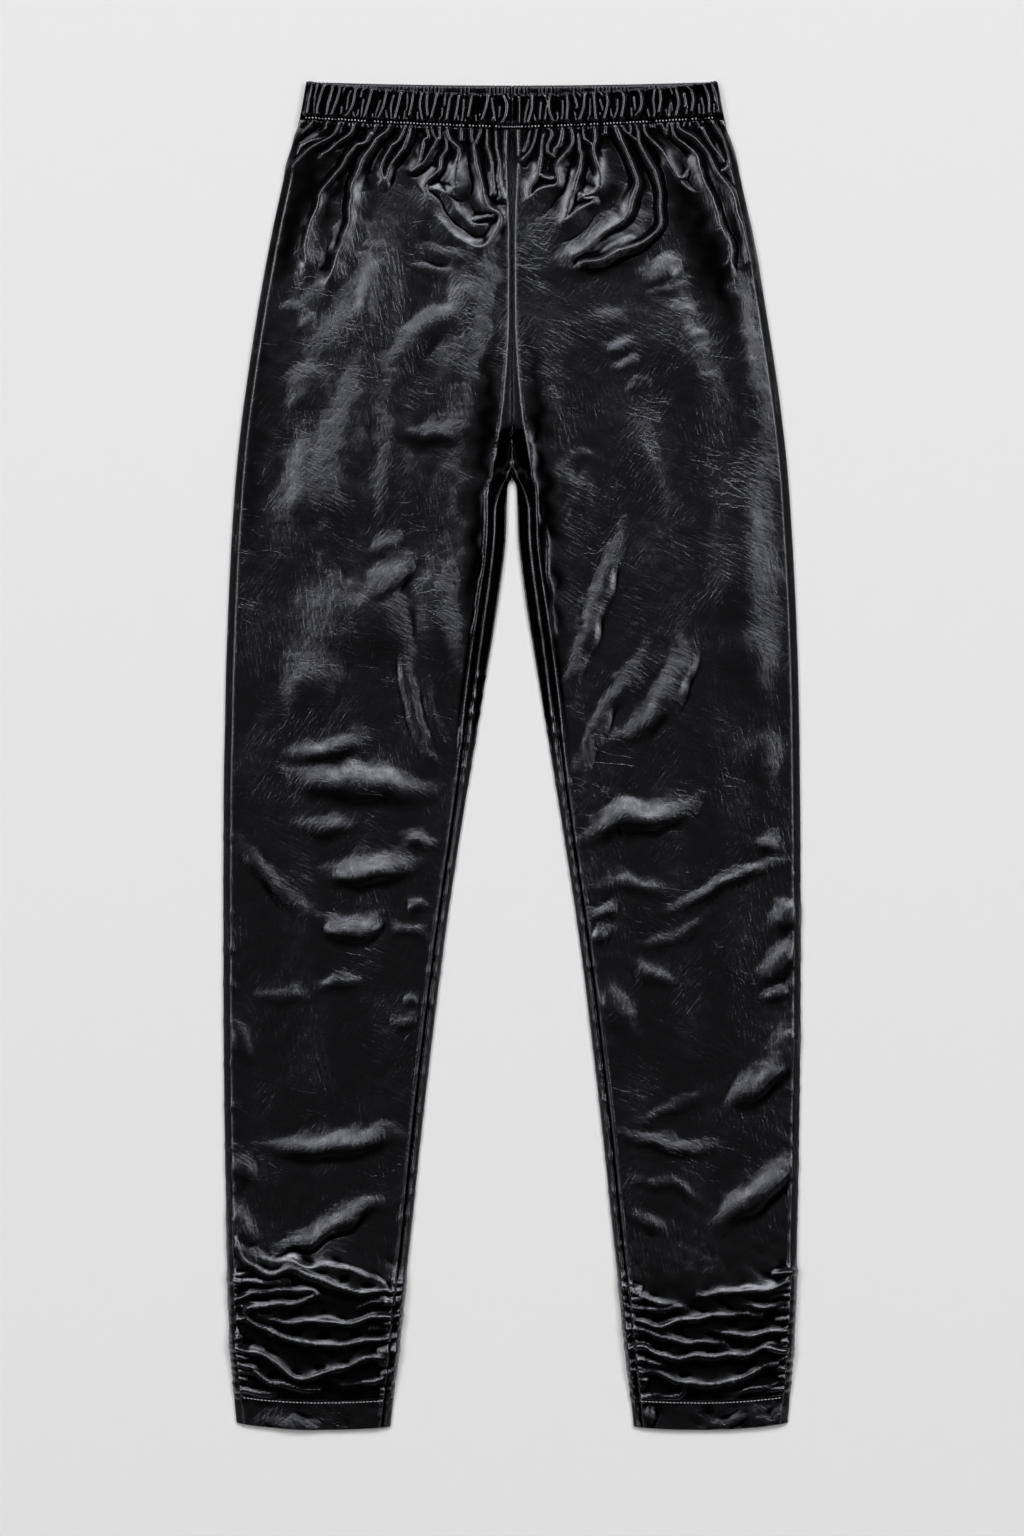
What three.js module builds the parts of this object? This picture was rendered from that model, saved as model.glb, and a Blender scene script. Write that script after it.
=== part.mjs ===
// Coated leggings with an elastic waist and ruched ankles, laid flat with the front up.
//
// The cloth is a thin wall. On each leg a front panel lies on a back panel, and the back panel
// comes up round both edges of the leg to a side seam and an inseam that show from above.
// Above the crotch the two halves meet at a centre front seam and a centre back seam.
// A gathered casing closes the waist, and a turned hem closes each ankle.
//
// Millimetres. +X is the wearer's left, +Y runs towards the waist, +Z is up.
// The origin is on the table, under the middle of the garment.
import * as THREE from 'three';

// Driving dimensions
const LENGTH = 960; // hem to the corners of the waist
const WALL = 1.2; // coated jersey
const BAND_WALL = 3.6; // waist casing: two layers of cloth round an elastic
const HEM_WALL = 1.8; // turned hem: two layers of cloth
const BAND_HEIGHT = 31.5; // waist casing, at the side
const HEM_HEIGHT = 20.5;
const SEAM_GAP = 0.3; // between two pieces at a seam
const SIDE_STRIP = 4.6; // side seam, in from the outer edge
const SEAM_SINK = 1.1; // a seam lies this much lower than the cloth beside it
const SEAM_SPREAD = 4; // and the cloth comes up again over about this width
const TONGUE_TIP = 0.75; // from the centre line to the inseam where it meets the crotch
const CROTCH_Y = 223.5; // where the four panels meet, on the upper side
const FORK_Y = 197.5; // top of the gap between the legs
const BAND_TOP = 9.4; // height of the closed waist casing above the table

const TOP_Y = LENGTH / 2;
const HEM_Y = -LENGTH / 2;
const BAND_Y = TOP_Y - BAND_HEIGHT; // casing seam, at the side
const CUFF_Y = HEM_Y + HEM_HEIGHT; // upper edge of the hem

// How far the middle of the garment dips below the sides
const DIP = { frontTop: 8.9, backTop: 2.6, frontSeam: 3.5, backSeam: 1.2 };
const SEAM_DIP_REACH = 70; // the rows of a panel follow the casing seam over this length

// How far the corners of a hem rise above its lowest point, which is this share of its width out
const HEM_BEND = { atInseam: 2, atSide: 4.8, lowest: 0.45, reach: 40 };

// Outer edge of the laid garment, from the centre line
const OUTER_EDGE = [
  { y: 480, u: 146.6 },
  { y: 448.5, u: 152.2 },
  { y: 420, u: 160.6 },
  { y: 340, u: 177 },
  { y: 223.5, u: 194.2 },
  { y: 110, u: 202 },
  { y: 0, u: 205 },
  { y: -120, u: 205.6 },
  { y: -240, u: 205 },
  { y: -345, u: 203.1 },
  { y: -400, u: 201.6 },
  { y: -459.5, u: 198.1 },
  { y: -480, u: 196.3 },
];

// Inner edge of each leg, below the fork
const INNER_EDGE = [
  { y: 197.5, u: 0.15 },
  { y: 192, u: 2.9 },
  { y: 180, u: 3.7 },
  { y: 150, u: 4.8 },
  { y: 110, u: 9.8 },
  { y: 0, u: 27.8 },
  { y: -120, u: 46.4 },
  { y: -240, u: 61.2 },
  { y: -345, u: 72.3 },
  { y: -400, u: 78.4 },
  { y: -459.5, u: 84.5 },
  { y: -480, u: 86.6 },
];

// Inseam below the fork, in from the inner edge
const INSEAM_STRIP = [
  { y: 197.5, u: 14 },
  { y: 192, u: 11.6 },
  { y: 180, u: 10.9 },
  { y: 110, u: 9.4 },
  { y: 0, u: 8.2 },
  { y: -240, u: 7 },
  { y: -480, u: 6.6 },
];

// Height of the upper side above the table, where no fold lifts it
const TOP_SIDE = [
  { y: 480, z: 8.4 },
  { y: 440, z: 8.2 },
  { y: 400, z: 6.6 },
  { y: 340, z: 5.7 },
  { y: 0, z: 5.5 },
  { y: -320, z: 5.7 },
  { y: -390, z: 8.2 },
  { y: -445, z: 7.6 },
  { y: -460, z: 6 },
  { y: -480, z: 5.6 },
];

// The largest folds of the front: two ends, sideways bow, height and half width.
// u is the distance from the centre line, on the side that is named.
const FOLDS = [
  // gathers below the waist casing
  { side: 'left', u: 24, y: 446, toU: 30, toY: 385, bow: 3, rise: 2.4, wide: 7 },
  { side: 'left', u: 52, y: 446, toU: 74, toY: 378, bow: -6, rise: 2.8, wide: 8 },
  { side: 'left', u: 84, y: 447, toU: 112, toY: 366, bow: -5, rise: 2.6, wide: 8 },
  { side: 'left', u: 118, y: 447, toU: 154, toY: 350, bow: -5, rise: 2.6, wide: 8 },
  { side: 'right', u: 30, y: 446, toU: 16, toY: 390, bow: 3, rise: 2.4, wide: 7 },
  { side: 'right', u: 66, y: 446, toU: 84, toY: 378, bow: -4, rise: 2.8, wide: 8 },
  { side: 'right', u: 92, y: 447, toU: 122, toY: 356, bow: -6, rise: 2.8, wide: 8 },
  { side: 'right', u: 122, y: 447, toU: 150, toY: 372, bow: -5, rise: 2.4, wide: 8 },
  // thigh
  { side: 'left', u: 33, y: 44, toU: 66, toY: 168, bow: 8, rise: 3.6, wide: 10 },
  { side: 'left', u: 47, y: -12, toU: 122, toY: 92, bow: 9, rise: 3.6, wide: 11 },
  { side: 'right', u: 52, y: -10, toU: 68, toY: 122, bow: 5, rise: 3.4, wide: 9 },
  { side: 'right', u: 96, y: 112, toU: 62, toY: 158, bow: 0, rise: 2.4, wide: 9 },
  // knee
  { side: 'left', u: 56, y: -66, toU: 140, toY: -26, bow: -5, rise: 3.4, wide: 9 },
  { side: 'left', u: 58, y: -98, toU: 198, toY: -68, bow: 9, rise: 4, wide: 10 },
  { side: 'right', u: 62, y: -26, toU: 164, toY: -12, bow: -4, rise: 3.6, wide: 10 },
  { side: 'right', u: 66, y: -80, toU: 140, toY: -72, bow: 2, rise: 3.6, wide: 10 },
  { side: 'right', u: 60, y: -128, toU: 196, toY: -64, bow: 22, rise: 3.4, wide: 10 },
  // calf
  { side: 'left', u: 78, y: -276, toU: 176, toY: -290, bow: -3, rise: 3, wide: 12 },
  { side: 'left', u: 198, y: -286, toU: 148, toY: -334, bow: -8, rise: 3.8, wide: 10 },
  { side: 'right', u: 74, y: -268, toU: 182, toY: -280, bow: -3, rise: 3.8, wide: 10 },
  { side: 'right', u: 82, y: -316, toU: 168, toY: -350, bow: 3, rise: 3, wide: 10 },
  // ruched ankle
  { side: 'left', u: 84, y: -388, toU: 200, toY: -382, bow: 10, rise: 4.4, wide: 7 },
  { side: 'left', u: 86, y: -412, toU: 198, toY: -404, bow: -3, rise: 3.4, wide: 6 },
  { side: 'left', u: 86, y: -432, toU: 196, toY: -424, bow: 5, rise: 3.8, wide: 6 },
  { side: 'left', u: 90, y: -446, toU: 188, toY: -438, bow: 7, rise: 3.6, wide: 6 },
  { side: 'right', u: 82, y: -378, toU: 196, toY: -362, bow: 4, rise: 4.4, wide: 7 },
  { side: 'right', u: 84, y: -402, toU: 192, toY: -400, bow: -2, rise: 3.6, wide: 6 },
  { side: 'right', u: 86, y: -420, toU: 194, toY: -414, bow: 4, rise: 3.6, wide: 6 },
  { side: 'right', u: 98, y: -434, toU: 188, toY: -440, bow: 8, rise: 3.8, wide: 6 },
];
const HELD_BY_SEAM = 12; // a fold has its full height this far from a seam

// The elastic in each seam pulls the edge of the ankle into bulges
const RUCHE = { from: -452, to: -368, pitch: 14, depth: 1.3 };

// Hollow at the crotch, where the cloth goes down to the seams
const PIT = { depth: 1.2, long: 45, wide: 14 };

// Waist casing: flutes of the gathered cloth on each quarter
const FLUTES = { count: 12, depth: 1, flatCentre: 7, fade: 6 };

// Grid of each piece
const FRONT_COLUMNS = 10;
const HEM_COLUMNS = 6;
const UNDER_COLUMNS = 2;
const TURN_COLUMNS = 3;
const TURN_FLATNESS = 0.8; // depth of a turned edge, as a share of its half height
const FORK_TIGHTNESS = 0.6; // share of that depth which the turned edge loses towards the fork
const FRONT_ROWS = [
  { to: -370, step: 8.2 },
  { to: -250, step: 20 },
  { to: -130, step: 30 },
  { to: 0, step: 18.6 },
  { to: 170, step: 28 },
  { to: FORK_Y, step: 7 },
  { to: CROTCH_Y, step: 9 },
  { to: 350, step: 32 },
  { to: BAND_Y - SEAM_GAP / 2, step: 16.5 },
];
const BACK_ROWS = [
  { to: -370, step: 8.2 },
  { to: -250, step: 40 },
  { to: 0, step: 36 },
  { to: 170, step: 28 },
  { to: FORK_Y, step: 7 },
  { to: CROTCH_Y, step: 9 },
  { to: 350, step: 43 },
  { to: BAND_Y - SEAM_GAP / 2, step: 25 },
];

const SIGN = { left: 1, right: -1 };
const HALF_GAP = SEAM_GAP / 2;
const COATED_CLOTH = { color: 0x0b0b0d, roughness: 0.3, metalness: 0 };

const { clamp, lerp, smoothstep } = THREE.MathUtils;
const bell = (distance) => Math.exp(-distance * distance);

/** A smooth curve through one column of a table, over y. */
function curve(table, key) {
  const rows = [...table].sort((a, b) => a.y - b.y);
  const last = rows.length - 1;
  const slope = (i) => {
    const [a, b] = [rows[Math.max(i - 1, 0)], rows[Math.min(i + 1, last)]];
    return (b[key] - a[key]) / (b.y - a.y);
  };
  return (y) => {
    const at = clamp(y, rows[0].y, rows[last].y);
    const i = Math.min(rows.findLastIndex((row) => row.y <= at), last - 1);
    const [a, b] = [rows[i], rows[i + 1]];
    const h = b.y - a.y;
    const t = (at - a.y) / h;
    const ends = a[key] * (1 + 2 * t) * (1 - t) ** 2 + b[key] * t * t * (3 - 2 * t);
    return ends + slope(i) * h * t * (1 - t) ** 2 + slope(i + 1) * h * t * t * (t - 1);
  };
}

/** How far the ruching draws an edge in, at a height along the ankle. */
function ruched(y) {
  const { from, to, pitch, depth } = RUCHE;
  if (y <= from || y >= to) return 0;
  const fade = Math.sin((Math.PI * (y - from)) / (to - from)) ** 0.5;
  return depth * fade * (0.5 + 0.5 * Math.cos((2 * Math.PI * (y - from)) / pitch));
}

const plainOuterEdge = curve(OUTER_EDGE, 'u');
const plainInnerEdge = curve(INNER_EDGE, 'u');
const inseamStrip = curve(INSEAM_STRIP, 'u');
const topSide = curve(TOP_SIDE, 'z');
const outerEdge = (y) => plainOuterEdge(y) - ruched(y);
const innerEdge = (y) => (y < FORK_Y ? plainInnerEdge(y) + ruched(y) : HALF_GAP);
const sideSeam = (y) => outerEdge(y) - SIDE_STRIP;

/** The centre front seam above the crotch, and below it the inseam, which turns away to the leg. */
function innerSeam(y) {
  if (y > CROTCH_Y) return 0;
  if (y <= FORK_Y) return innerEdge(y) + inseamStrip(y);
  const atFork = plainInnerEdge(FORK_Y) + inseamStrip(FORK_Y);
  return Math.max(atFork * (1 - ((y - FORK_Y) / (CROTCH_Y - FORK_Y)) ** 3), TONGUE_TIP);
}

/** Height that one fold adds at a point. */
function foldHeight(fold, u, y) {
  const [du, dy] = [fold.toU - fold.u, fold.toY - fold.y];
  const long = Math.hypot(du, dy);
  const t = ((u - fold.u) * du + (y - fold.y) * dy) / (long * long);
  if (t <= 0 || t >= 1) return 0;
  const aside = ((u - fold.u) * dy - (y - fold.y) * du) / long - 4 * fold.bow * t * (1 - t);
  return fold.rise * Math.sin(Math.PI * t) ** 0.7 * bell(aside / fold.wide);
}

const pit = (u, y) => PIT.depth * bell((y - CROTCH_Y) / PIT.long) * bell(u / PIT.wide);

/** Upper side of the front panel: it sinks to its seams, and its folds lift it. */
function frontHeight(side, u, y) {
  const [toSide, toInner] = [sideSeam(y) - u, u - innerSeam(y)];
  const sunk = SEAM_SINK * (bell(toSide / SEAM_SPREAD) + bell(toInner / SEAM_SPREAD));
  const held = smoothstep(toSide, 0, HELD_BY_SEAM) * smoothstep(toInner, 0, HELD_BY_SEAM);
  const folds = FOLDS.filter((fold) => fold.side === side);
  const lifted = folds.reduce((sum, fold) => sum + foldHeight(fold, u, y), 0);
  return topSide(y) - sunk - pit(u, y) + lifted * held;
}

/** How far the middle dips below the height of the sides. */
const dipped = (dip, u, y) => dip * Math.max(0, 1 - (u / outerEdge(y)) ** 2);

/** The rows of a panel bend with the casing seam above and with the hem below. */
function bentRow(y, u, seamDip) {
  const nearBand = smoothstep(y, BAND_Y - SEAM_DIP_REACH, BAND_Y);
  const nearHem = 1 - smoothstep(y, CUFF_Y, CUFF_Y + HEM_BEND.reach);
  const share = clamp((u - innerEdge(y)) / (outerEdge(y) - innerEdge(y)), 0, 1);
  const { atInseam, atSide, lowest } = HEM_BEND;
  const corner =
    share < lowest
      ? atInseam * (1 - share / lowest) ** 2
      : atSide * ((share - lowest) / (1 - lowest)) ** 2;
  return y - dipped(seamDip, u, y) * nearBand + corner * nearHem;
}

/**
 * A closed wall between two grids of points. Cells that keep() turns down are left out, and the
 * wall is closed along every edge that this opens.
 */
function wall(outer, inner, turned, keep = () => true) {
  const points = [];
  const numbered = (grid) => grid.map((row) => row.map((point) => points.push(point) - 1));
  const [o, n] = [numbered(outer), numbered(inner)];
  const [rows, columns] = [outer.length - 1, outer[0].length - 1];
  const kept = (i, j) => i >= 0 && j >= 0 && i < rows && j < columns && keep(i, j);
  const faces = [];
  const quad = (a, b, c, d) => (turned ? faces.push(c, b, a, d, c, a) : faces.push(a, b, c, a, c, d));
  const rim = ([i, j], [k, l]) => quad(o[i][j], n[i][j], n[k][l], o[k][l]);
  for (let i = 0; i < rows; i++) {
    for (let j = 0; j < columns; j++) {
      if (!kept(i, j)) continue;
      quad(o[i][j], o[i][j + 1], o[i + 1][j + 1], o[i + 1][j]);
      quad(n[i][j], n[i + 1][j], n[i + 1][j + 1], n[i][j + 1]);
      if (!kept(i - 1, j)) rim([i, j], [i, j + 1]);
      if (!kept(i, j + 1)) rim([i, j + 1], [i + 1, j + 1]);
      if (!kept(i + 1, j)) rim([i + 1, j + 1], [i + 1, j]);
      if (!kept(i, j - 1)) rim([i + 1, j], [i, j]);
    }
  }
  const geometry = new THREE.BufferGeometry();
  geometry.setAttribute('position', new THREE.Float32BufferAttribute(points.flat(), 3));
  geometry.setIndex(faces);
  geometry.computeVertexNormals();
  return geometry;
}

/** Evenly spaced values from one end to the other, both included. */
const spaced = (from, to, count) =>
  Array.from({ length: count + 1 }, (_, i) => lerp(from, to, i / count));

/** The y of each row of a grid, from a table of stretches. */
function rowsFrom(start, stretches) {
  const ys = [start];
  for (const { to, step } of stretches) {
    const from = ys[ys.length - 1];
    ys.push(...spaced(from, to, Math.ceil((to - from) / step)).slice(1));
  }
  return ys;
}

/** One layer of the upper side, from the inner seam to the side seam. */
function frontPiece(side, ys, columns, thick) {
  const grid = (drop) =>
    ys.map((y) =>
      spaced(innerSeam(y) + HALF_GAP, sideSeam(y) - HALF_GAP, columns).map((u) => [
        SIGN[side] * u,
        bentRow(y, u, DIP.frontSeam),
        frontHeight(side, u, y) - drop,
      ]),
    );
  return wall(grid(0), grid(thick), side === 'right');
}

/** Half a turn round an edge, from the upper side down, as points with the way into the cloth. */
function turnedEdge(edge, outward, high) {
  const radius = high / 2;
  return spaced(0, Math.PI, TURN_COLUMNS).map((angle) => {
    const [s, c] = [Math.sin(angle), Math.cos(angle)];
    const reach = edge.soft * TURN_FLATNESS * radius;
    return { u: edge.u - outward * reach * (1 - s), z: radius * (1 + c), inU: -outward * s, inZ: -c };
  });
}

/** One ring of a back piece: side seam, outer edge, underside, inner edge and inseam. */
function backRing(y) {
  const high = topSide(y);
  const soft = y > FORK_Y ? 0 : 1 - FORK_TIGHTNESS * smoothstep(y, FORK_Y - 25, FORK_Y);
  const outerTurn = turnedEdge({ u: outerEdge(y), soft: 1 }, 1, high);
  const innerTurn = turnedEdge({ u: innerEdge(y), soft }, -1, high - pit(0, y)).reverse();
  const flat = spaced(outerTurn[TURN_COLUMNS].u, innerTurn[0].u, UNDER_COLUMNS).slice(1, -1);
  const seamEnd = Math.max(innerSeam(y), TONGUE_TIP) - HALF_GAP;
  const lip = (u, z) => ({ u, z, inU: 0, inZ: -1 });
  return [
    lip(sideSeam(y) + HALF_GAP, high - SEAM_SINK),
    ...outerTurn,
    ...flat.map((u) => ({ u, z: 0, inU: 0, inZ: 1 })),
    ...innerTurn,
    lip(seamEnd, high - SEAM_SINK - pit(seamEnd, y)),
  ];
}

/** The underside of one leg, with both of its turned edges. Above the fork only the part on the
 * table goes on to the waist, and a short tongue goes up to the crotch on the upper side. */
function backPiece(side, ys, thick) {
  const rings = ys.map(backRing);
  const grid = (depth) =>
    rings.map((ring, i) =>
      ring.map((point) => [
        SIGN[side] * (point.u + point.inU * depth),
        bentRow(ys[i], point.u, DIP.backSeam),
        point.z + point.inZ * depth,
      ]),
    );
  const innerTurnStart = 1 + TURN_COLUMNS + UNDER_COLUMNS;
  const keep = (i, j) => {
    if (j < innerTurnStart) return true;
    const isLip = j === innerTurnStart + TURN_COLUMNS;
    return ys[i + 1] <= (isLip ? CROTCH_Y : FORK_Y) + 0.01;
  };
  return wall(grid(0), grid(thick), side === 'right', keep);
}

/** A quarter of the waist casing: fluted cloth from a centre seam to the side seam. */
function bandPiece(side, layer) {
  const [topDip, seamDip] =
    layer === 'front' ? [DIP.frontTop, DIP.frontSeam] : [DIP.backTop, DIP.backSeam];
  const middle = BAND_TOP / 2;
  const reach = TURN_FLATNESS * middle;
  const up = layer === 'front' ? 1 : -1;
  const point = (depth, u, above, inU, inZ, y) => [
    SIGN[side] * (u + inU * depth),
    y,
    middle + up * Math.max(above + inZ * depth, HALF_GAP),
  ];
  const row = (share, depth) => {
    const yAt = (u) => {
      const seam = BAND_Y + HALF_GAP - dipped(seamDip, u, BAND_Y);
      return lerp(seam, TOP_Y - dipped(topDip, u, TOP_Y), share);
    };
    const edge = outerEdge(lerp(BAND_Y, TOP_Y, share));
    const fluted = spaced(HALF_GAP, edge - reach, 2 * FLUTES.count).map((u, k) => {
      const fade = smoothstep(u, FLUTES.flatCentre, FLUTES.flatCentre + FLUTES.fade);
      const groove = k % 2 ? FLUTES.depth * fade * (depth ? 0 : 1) : 0;
      return point(depth, u, middle - groove, 0, -1, yAt(u));
    });
    const lastAngle = Math.PI / 2 - HALF_GAP / middle;
    const turn = spaced(0, lastAngle, 2).slice(1).map((angle) => {
      const [s, c] = [Math.sin(angle), Math.cos(angle)];
      const u = edge - reach * (1 - s);
      return point(depth, u, middle * c, -s, -c, yAt(u));
    });
    return [...fluted, ...turn];
  };
  const shares = spaced(0, 1, 2);
  const grid = (depth) => shares.map((share) => row(share, depth));
  return wall(grid(0), grid(BAND_WALL), (side === 'right') !== (layer === 'back'));
}

const cloth = new THREE.MeshStandardMaterial(COATED_CLOTH);
const leggings = new THREE.Group();

function add(name, geometry) {
  const mesh = new THREE.Mesh(geometry, cloth.clone());
  mesh.name = name;
  leggings.add(mesh);
}

const hemRows = spaced(HEM_Y, CUFF_Y - HALF_GAP, 2);
for (const side of ['left', 'right']) {
  add(`front_${side}`, frontPiece(side, rowsFrom(CUFF_Y + HALF_GAP, FRONT_ROWS), FRONT_COLUMNS, WALL));
  add(`back_${side}`, backPiece(side, rowsFrom(CUFF_Y + HALF_GAP, BACK_ROWS), WALL));
  add(`hem_front_${side}`, frontPiece(side, hemRows, HEM_COLUMNS, HEM_WALL));
  add(`hem_back_${side}`, backPiece(side, hemRows, HEM_WALL));
  add(`waistband_front_${side}`, bandPiece(side, 'front'));
  add(`waistband_back_${side}`, bandPiece(side, 'back'));
}

export default leggings;
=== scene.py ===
# %% [markdown]
# # Black coated leggings, laid out flat
#
# The real garment is a pair of stretch leggings in a black jersey with a thin glossy coating.
# It lies on a pale table with its front up. Its whole character is in three things: the outline,
# the way the coating mirrors soft studio lights along every fold, and the fine crinkle of the coat.
#
# The notebook goes from the outside in: first the frame, the room and the lights, then the
# outline of the garment, then its folds, and last the sewn pieces, the thread and the coating.
# All sizes are written in millimetres, as a pattern cutter would write them, and become metres
# only when a mesh is made. +X is the wearer's left, +Y runs to the waist and +Z is up.

import bpy
import math
import numpy as np
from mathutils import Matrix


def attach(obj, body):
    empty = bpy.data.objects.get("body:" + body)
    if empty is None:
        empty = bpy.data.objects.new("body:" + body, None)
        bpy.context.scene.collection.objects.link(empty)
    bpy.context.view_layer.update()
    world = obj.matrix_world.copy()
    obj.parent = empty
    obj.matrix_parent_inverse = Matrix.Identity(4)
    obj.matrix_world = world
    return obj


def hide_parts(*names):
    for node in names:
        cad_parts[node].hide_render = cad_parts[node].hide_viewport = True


MM = 0.001
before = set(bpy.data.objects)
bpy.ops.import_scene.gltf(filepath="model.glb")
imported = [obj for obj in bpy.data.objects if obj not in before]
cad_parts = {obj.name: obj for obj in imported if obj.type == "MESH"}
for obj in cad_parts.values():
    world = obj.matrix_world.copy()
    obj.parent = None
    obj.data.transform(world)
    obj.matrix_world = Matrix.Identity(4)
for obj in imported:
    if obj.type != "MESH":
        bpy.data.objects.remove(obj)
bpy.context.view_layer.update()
print("CAD nodes:", ", ".join(sorted(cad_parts)))

# %% [markdown]
# ## The camera
#
# A flat garment is shown best from straight above, from far enough away that the sides don't
# lean. A camera in Blender looks along its own -Z axis, so with no rotation it already looks
# straight down, with +Y at the top of the picture. A long lens from three metres up keeps the
# perspective weak.

# %% Camera straight above the garment
CAMERA_HEIGHT = 3.0
PICTURE_HEIGHT = 1.0948  # metres of table that the long side of the picture covers
PICTURE_CENTRE_Y = -0.0091
SENSOR_MM = 36.0

camera_data = bpy.data.cameras.new("camera")
camera_data.sensor_width = SENSOR_MM
camera_data.lens = SENSOR_MM * CAMERA_HEIGHT / PICTURE_HEIGHT
camera = bpy.data.objects.new("camera", camera_data)
camera.location = (0.0, PICTURE_CENTRE_Y, CAMERA_HEIGHT)
bpy.context.collection.objects.link(camera)
bpy.context.scene.camera = camera
print("camera lens in mm:", round(camera_data.lens, 1))

# %% [markdown]
# ## The room and the table
#
# A black coating shows almost nothing but reflections. Straight above the garment the room is
# dark, so the flat parts of the cloth stay nearly black. Near the horizon it is a little lighter,
# which shows the folds when the garment is seen from a low place. The camera itself sees a pale
# room. The table is plain matt paper, and isn't part of the object.

# %% Table
TABLE_HALF = 6.0
TABLE_DROP = 0.0002  # metres below the cloth, so that the two don't fight for the same plane
PAPER = (0.872, 0.866, 0.845, 1.0)

paper = bpy.data.materials.new("table_paper")
paper.use_nodes = True
paper_shader = paper.node_tree.nodes["Principled BSDF"]
paper_shader.inputs["Base Color"].default_value = PAPER
paper_shader.inputs["Roughness"].default_value = 0.9
paper_shader.inputs["Specular IOR Level"].default_value = 0.1

table_mesh = bpy.data.meshes.new("table")
corners = [(-1, -1), (1, -1), (1, 1), (-1, 1)]
corners = [(x * TABLE_HALF, y * TABLE_HALF, -TABLE_DROP) for x, y in corners]
table_mesh.from_pydata(corners, [], [(0, 1, 2, 3)])
table_mesh.materials.append(paper)
table = bpy.data.objects.new("table", table_mesh)
bpy.context.collection.objects.link(table)
print("table:", 2 * TABLE_HALF, "metres wide")


# %% Room
def map_range(tree, value, from_range=(0.0, 1.0), to_range=(0.0, 1.0), kind="LINEAR"):
    """A node that carries one range of values over to another."""
    node = tree.nodes.new("ShaderNodeMapRange")
    node.interpolation_type = kind
    node.inputs["From Min"].default_value, node.inputs["From Max"].default_value = from_range
    node.inputs["To Min"].default_value, node.inputs["To Max"].default_value = to_range
    tree.links.new(value, node.inputs["Value"])
    return node.outputs["Result"]


HORIZON, OVERHEAD = 0.16, 0.006  # brightness of the room low down and straight above

world = bpy.data.worlds.new("room")
bpy.context.scene.world = world
world.use_nodes = True
room = world.node_tree
room.nodes.clear()
room_output = room.nodes.new("ShaderNodeOutputWorld")
room_seen = room.nodes.new("ShaderNodeBackground")
room_seen.inputs["Color"].default_value = (0.76, 0.76, 0.76, 1.0)
room_lit = room.nodes.new("ShaderNodeBackground")
room_lit.inputs["Color"].default_value = (1.0, 1.0, 1.03, 1.0)
room_way = room.nodes.new("ShaderNodeTexCoord")
room_height = room.nodes.new("ShaderNodeSeparateXYZ")
room.links.new(room_way.outputs["Generated"], room_height.inputs["Vector"])
room_level = map_range(
    room, room_height.outputs["Z"], (0.15, 0.6), (HORIZON, OVERHEAD), "SMOOTHSTEP"
)
room.links.new(room_level, room_lit.inputs["Strength"])
room_mix = room.nodes.new("ShaderNodeMixShader")
room_path = room.nodes.new("ShaderNodeLightPath")
room.links.new(room_path.outputs["Is Camera Ray"], room_mix.inputs["Fac"])
room.links.new(room_lit.outputs["Background"], room_mix.inputs[1])
room.links.new(room_seen.outputs["Background"], room_mix.inputs[2])
room.links.new(room_mix.outputs["Shader"], room_output.inputs["Surface"])
bpy.context.scene.view_settings.view_transform = "Standard"
print("room brightness:", HORIZON, "at the horizon and", OVERHEAD, "overhead")

# %% [markdown]
# ## The lights
#
# The coating mirrors three soft boxes: one beyond the waist and one to each side of it. They are
# area lights, so the edge of each reflection is soft. A face of the cloth that leans about
# 17 degrees towards a box shows it to the camera. Each box has a brighter lamp in its middle, so
# that the crest of a fold shines more than the slope beside it.

# %% Soft boxes
LIGHT_COLUMNS = ("name", "azimuth", "zenith", "wide", "deep", "radiance")
LIGHTS = [
    ("box_top", 90, 34, 4.0, 7.8, 2.7),
    ("lamp_top", 90, 35, 1.5, 5.6, 8.5),
    ("box_left", 158, 34, 3.6, 7.4, 2.3),
    ("lamp_left", 158, 35, 1.2, 5.0, 7.5),
    ("box_right", 22, 34, 3.6, 7.4, 2.3),
    ("lamp_right", 22, 35, 1.2, 5.0, 7.5),
    # a very dim one overhead, which the flat cloth mirrors
    ("box_above", 0, 0, 9.0, 9.0, 0.04),
]
LIGHT_DISTANCE = 10.0
LIGHT_COLOUR = (0.965, 0.97, 1.0)

for row in LIGHTS:
    light = dict(zip(LIGHT_COLUMNS, row))
    data = bpy.data.lights.new(light["name"], "AREA")
    data.shape = "RECTANGLE"
    data.size, data.size_y = light["deep"], light["wide"]
    data.color = LIGHT_COLOUR
    # a soft box gives pi times its radiance and its area in watts
    data.energy = light["radiance"] * math.pi * light["wide"] * light["deep"]
    azimuth, zenith = math.radians(light["azimuth"]), math.radians(light["zenith"])
    box = bpy.data.objects.new(light["name"], data)
    box.location = (
        LIGHT_DISTANCE * math.sin(zenith) * math.cos(azimuth),
        LIGHT_DISTANCE * math.sin(zenith) * math.sin(azimuth),
        LIGHT_DISTANCE * math.cos(zenith),
    )
    box.rotation_euler = (0.0, zenith, azimuth)
    # the long side of each box runs level, across the way to the garment
    box.rotation_euler.rotate_axis("Z", math.pi / 2)
    box.visible_camera = False
    bpy.context.collection.objects.link(box)
    print(light["name"], [round(v, 2) for v in box.location])

# %% [markdown]
# ## The outline
#
# A pattern cutter measures a laid garment at a few heights and draws a smooth curve through
# them. The tables below do the same, for one side, because the cut is symmetric. A cubic
# curve through each table keeps the edge smooth between the measured heights.

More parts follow.
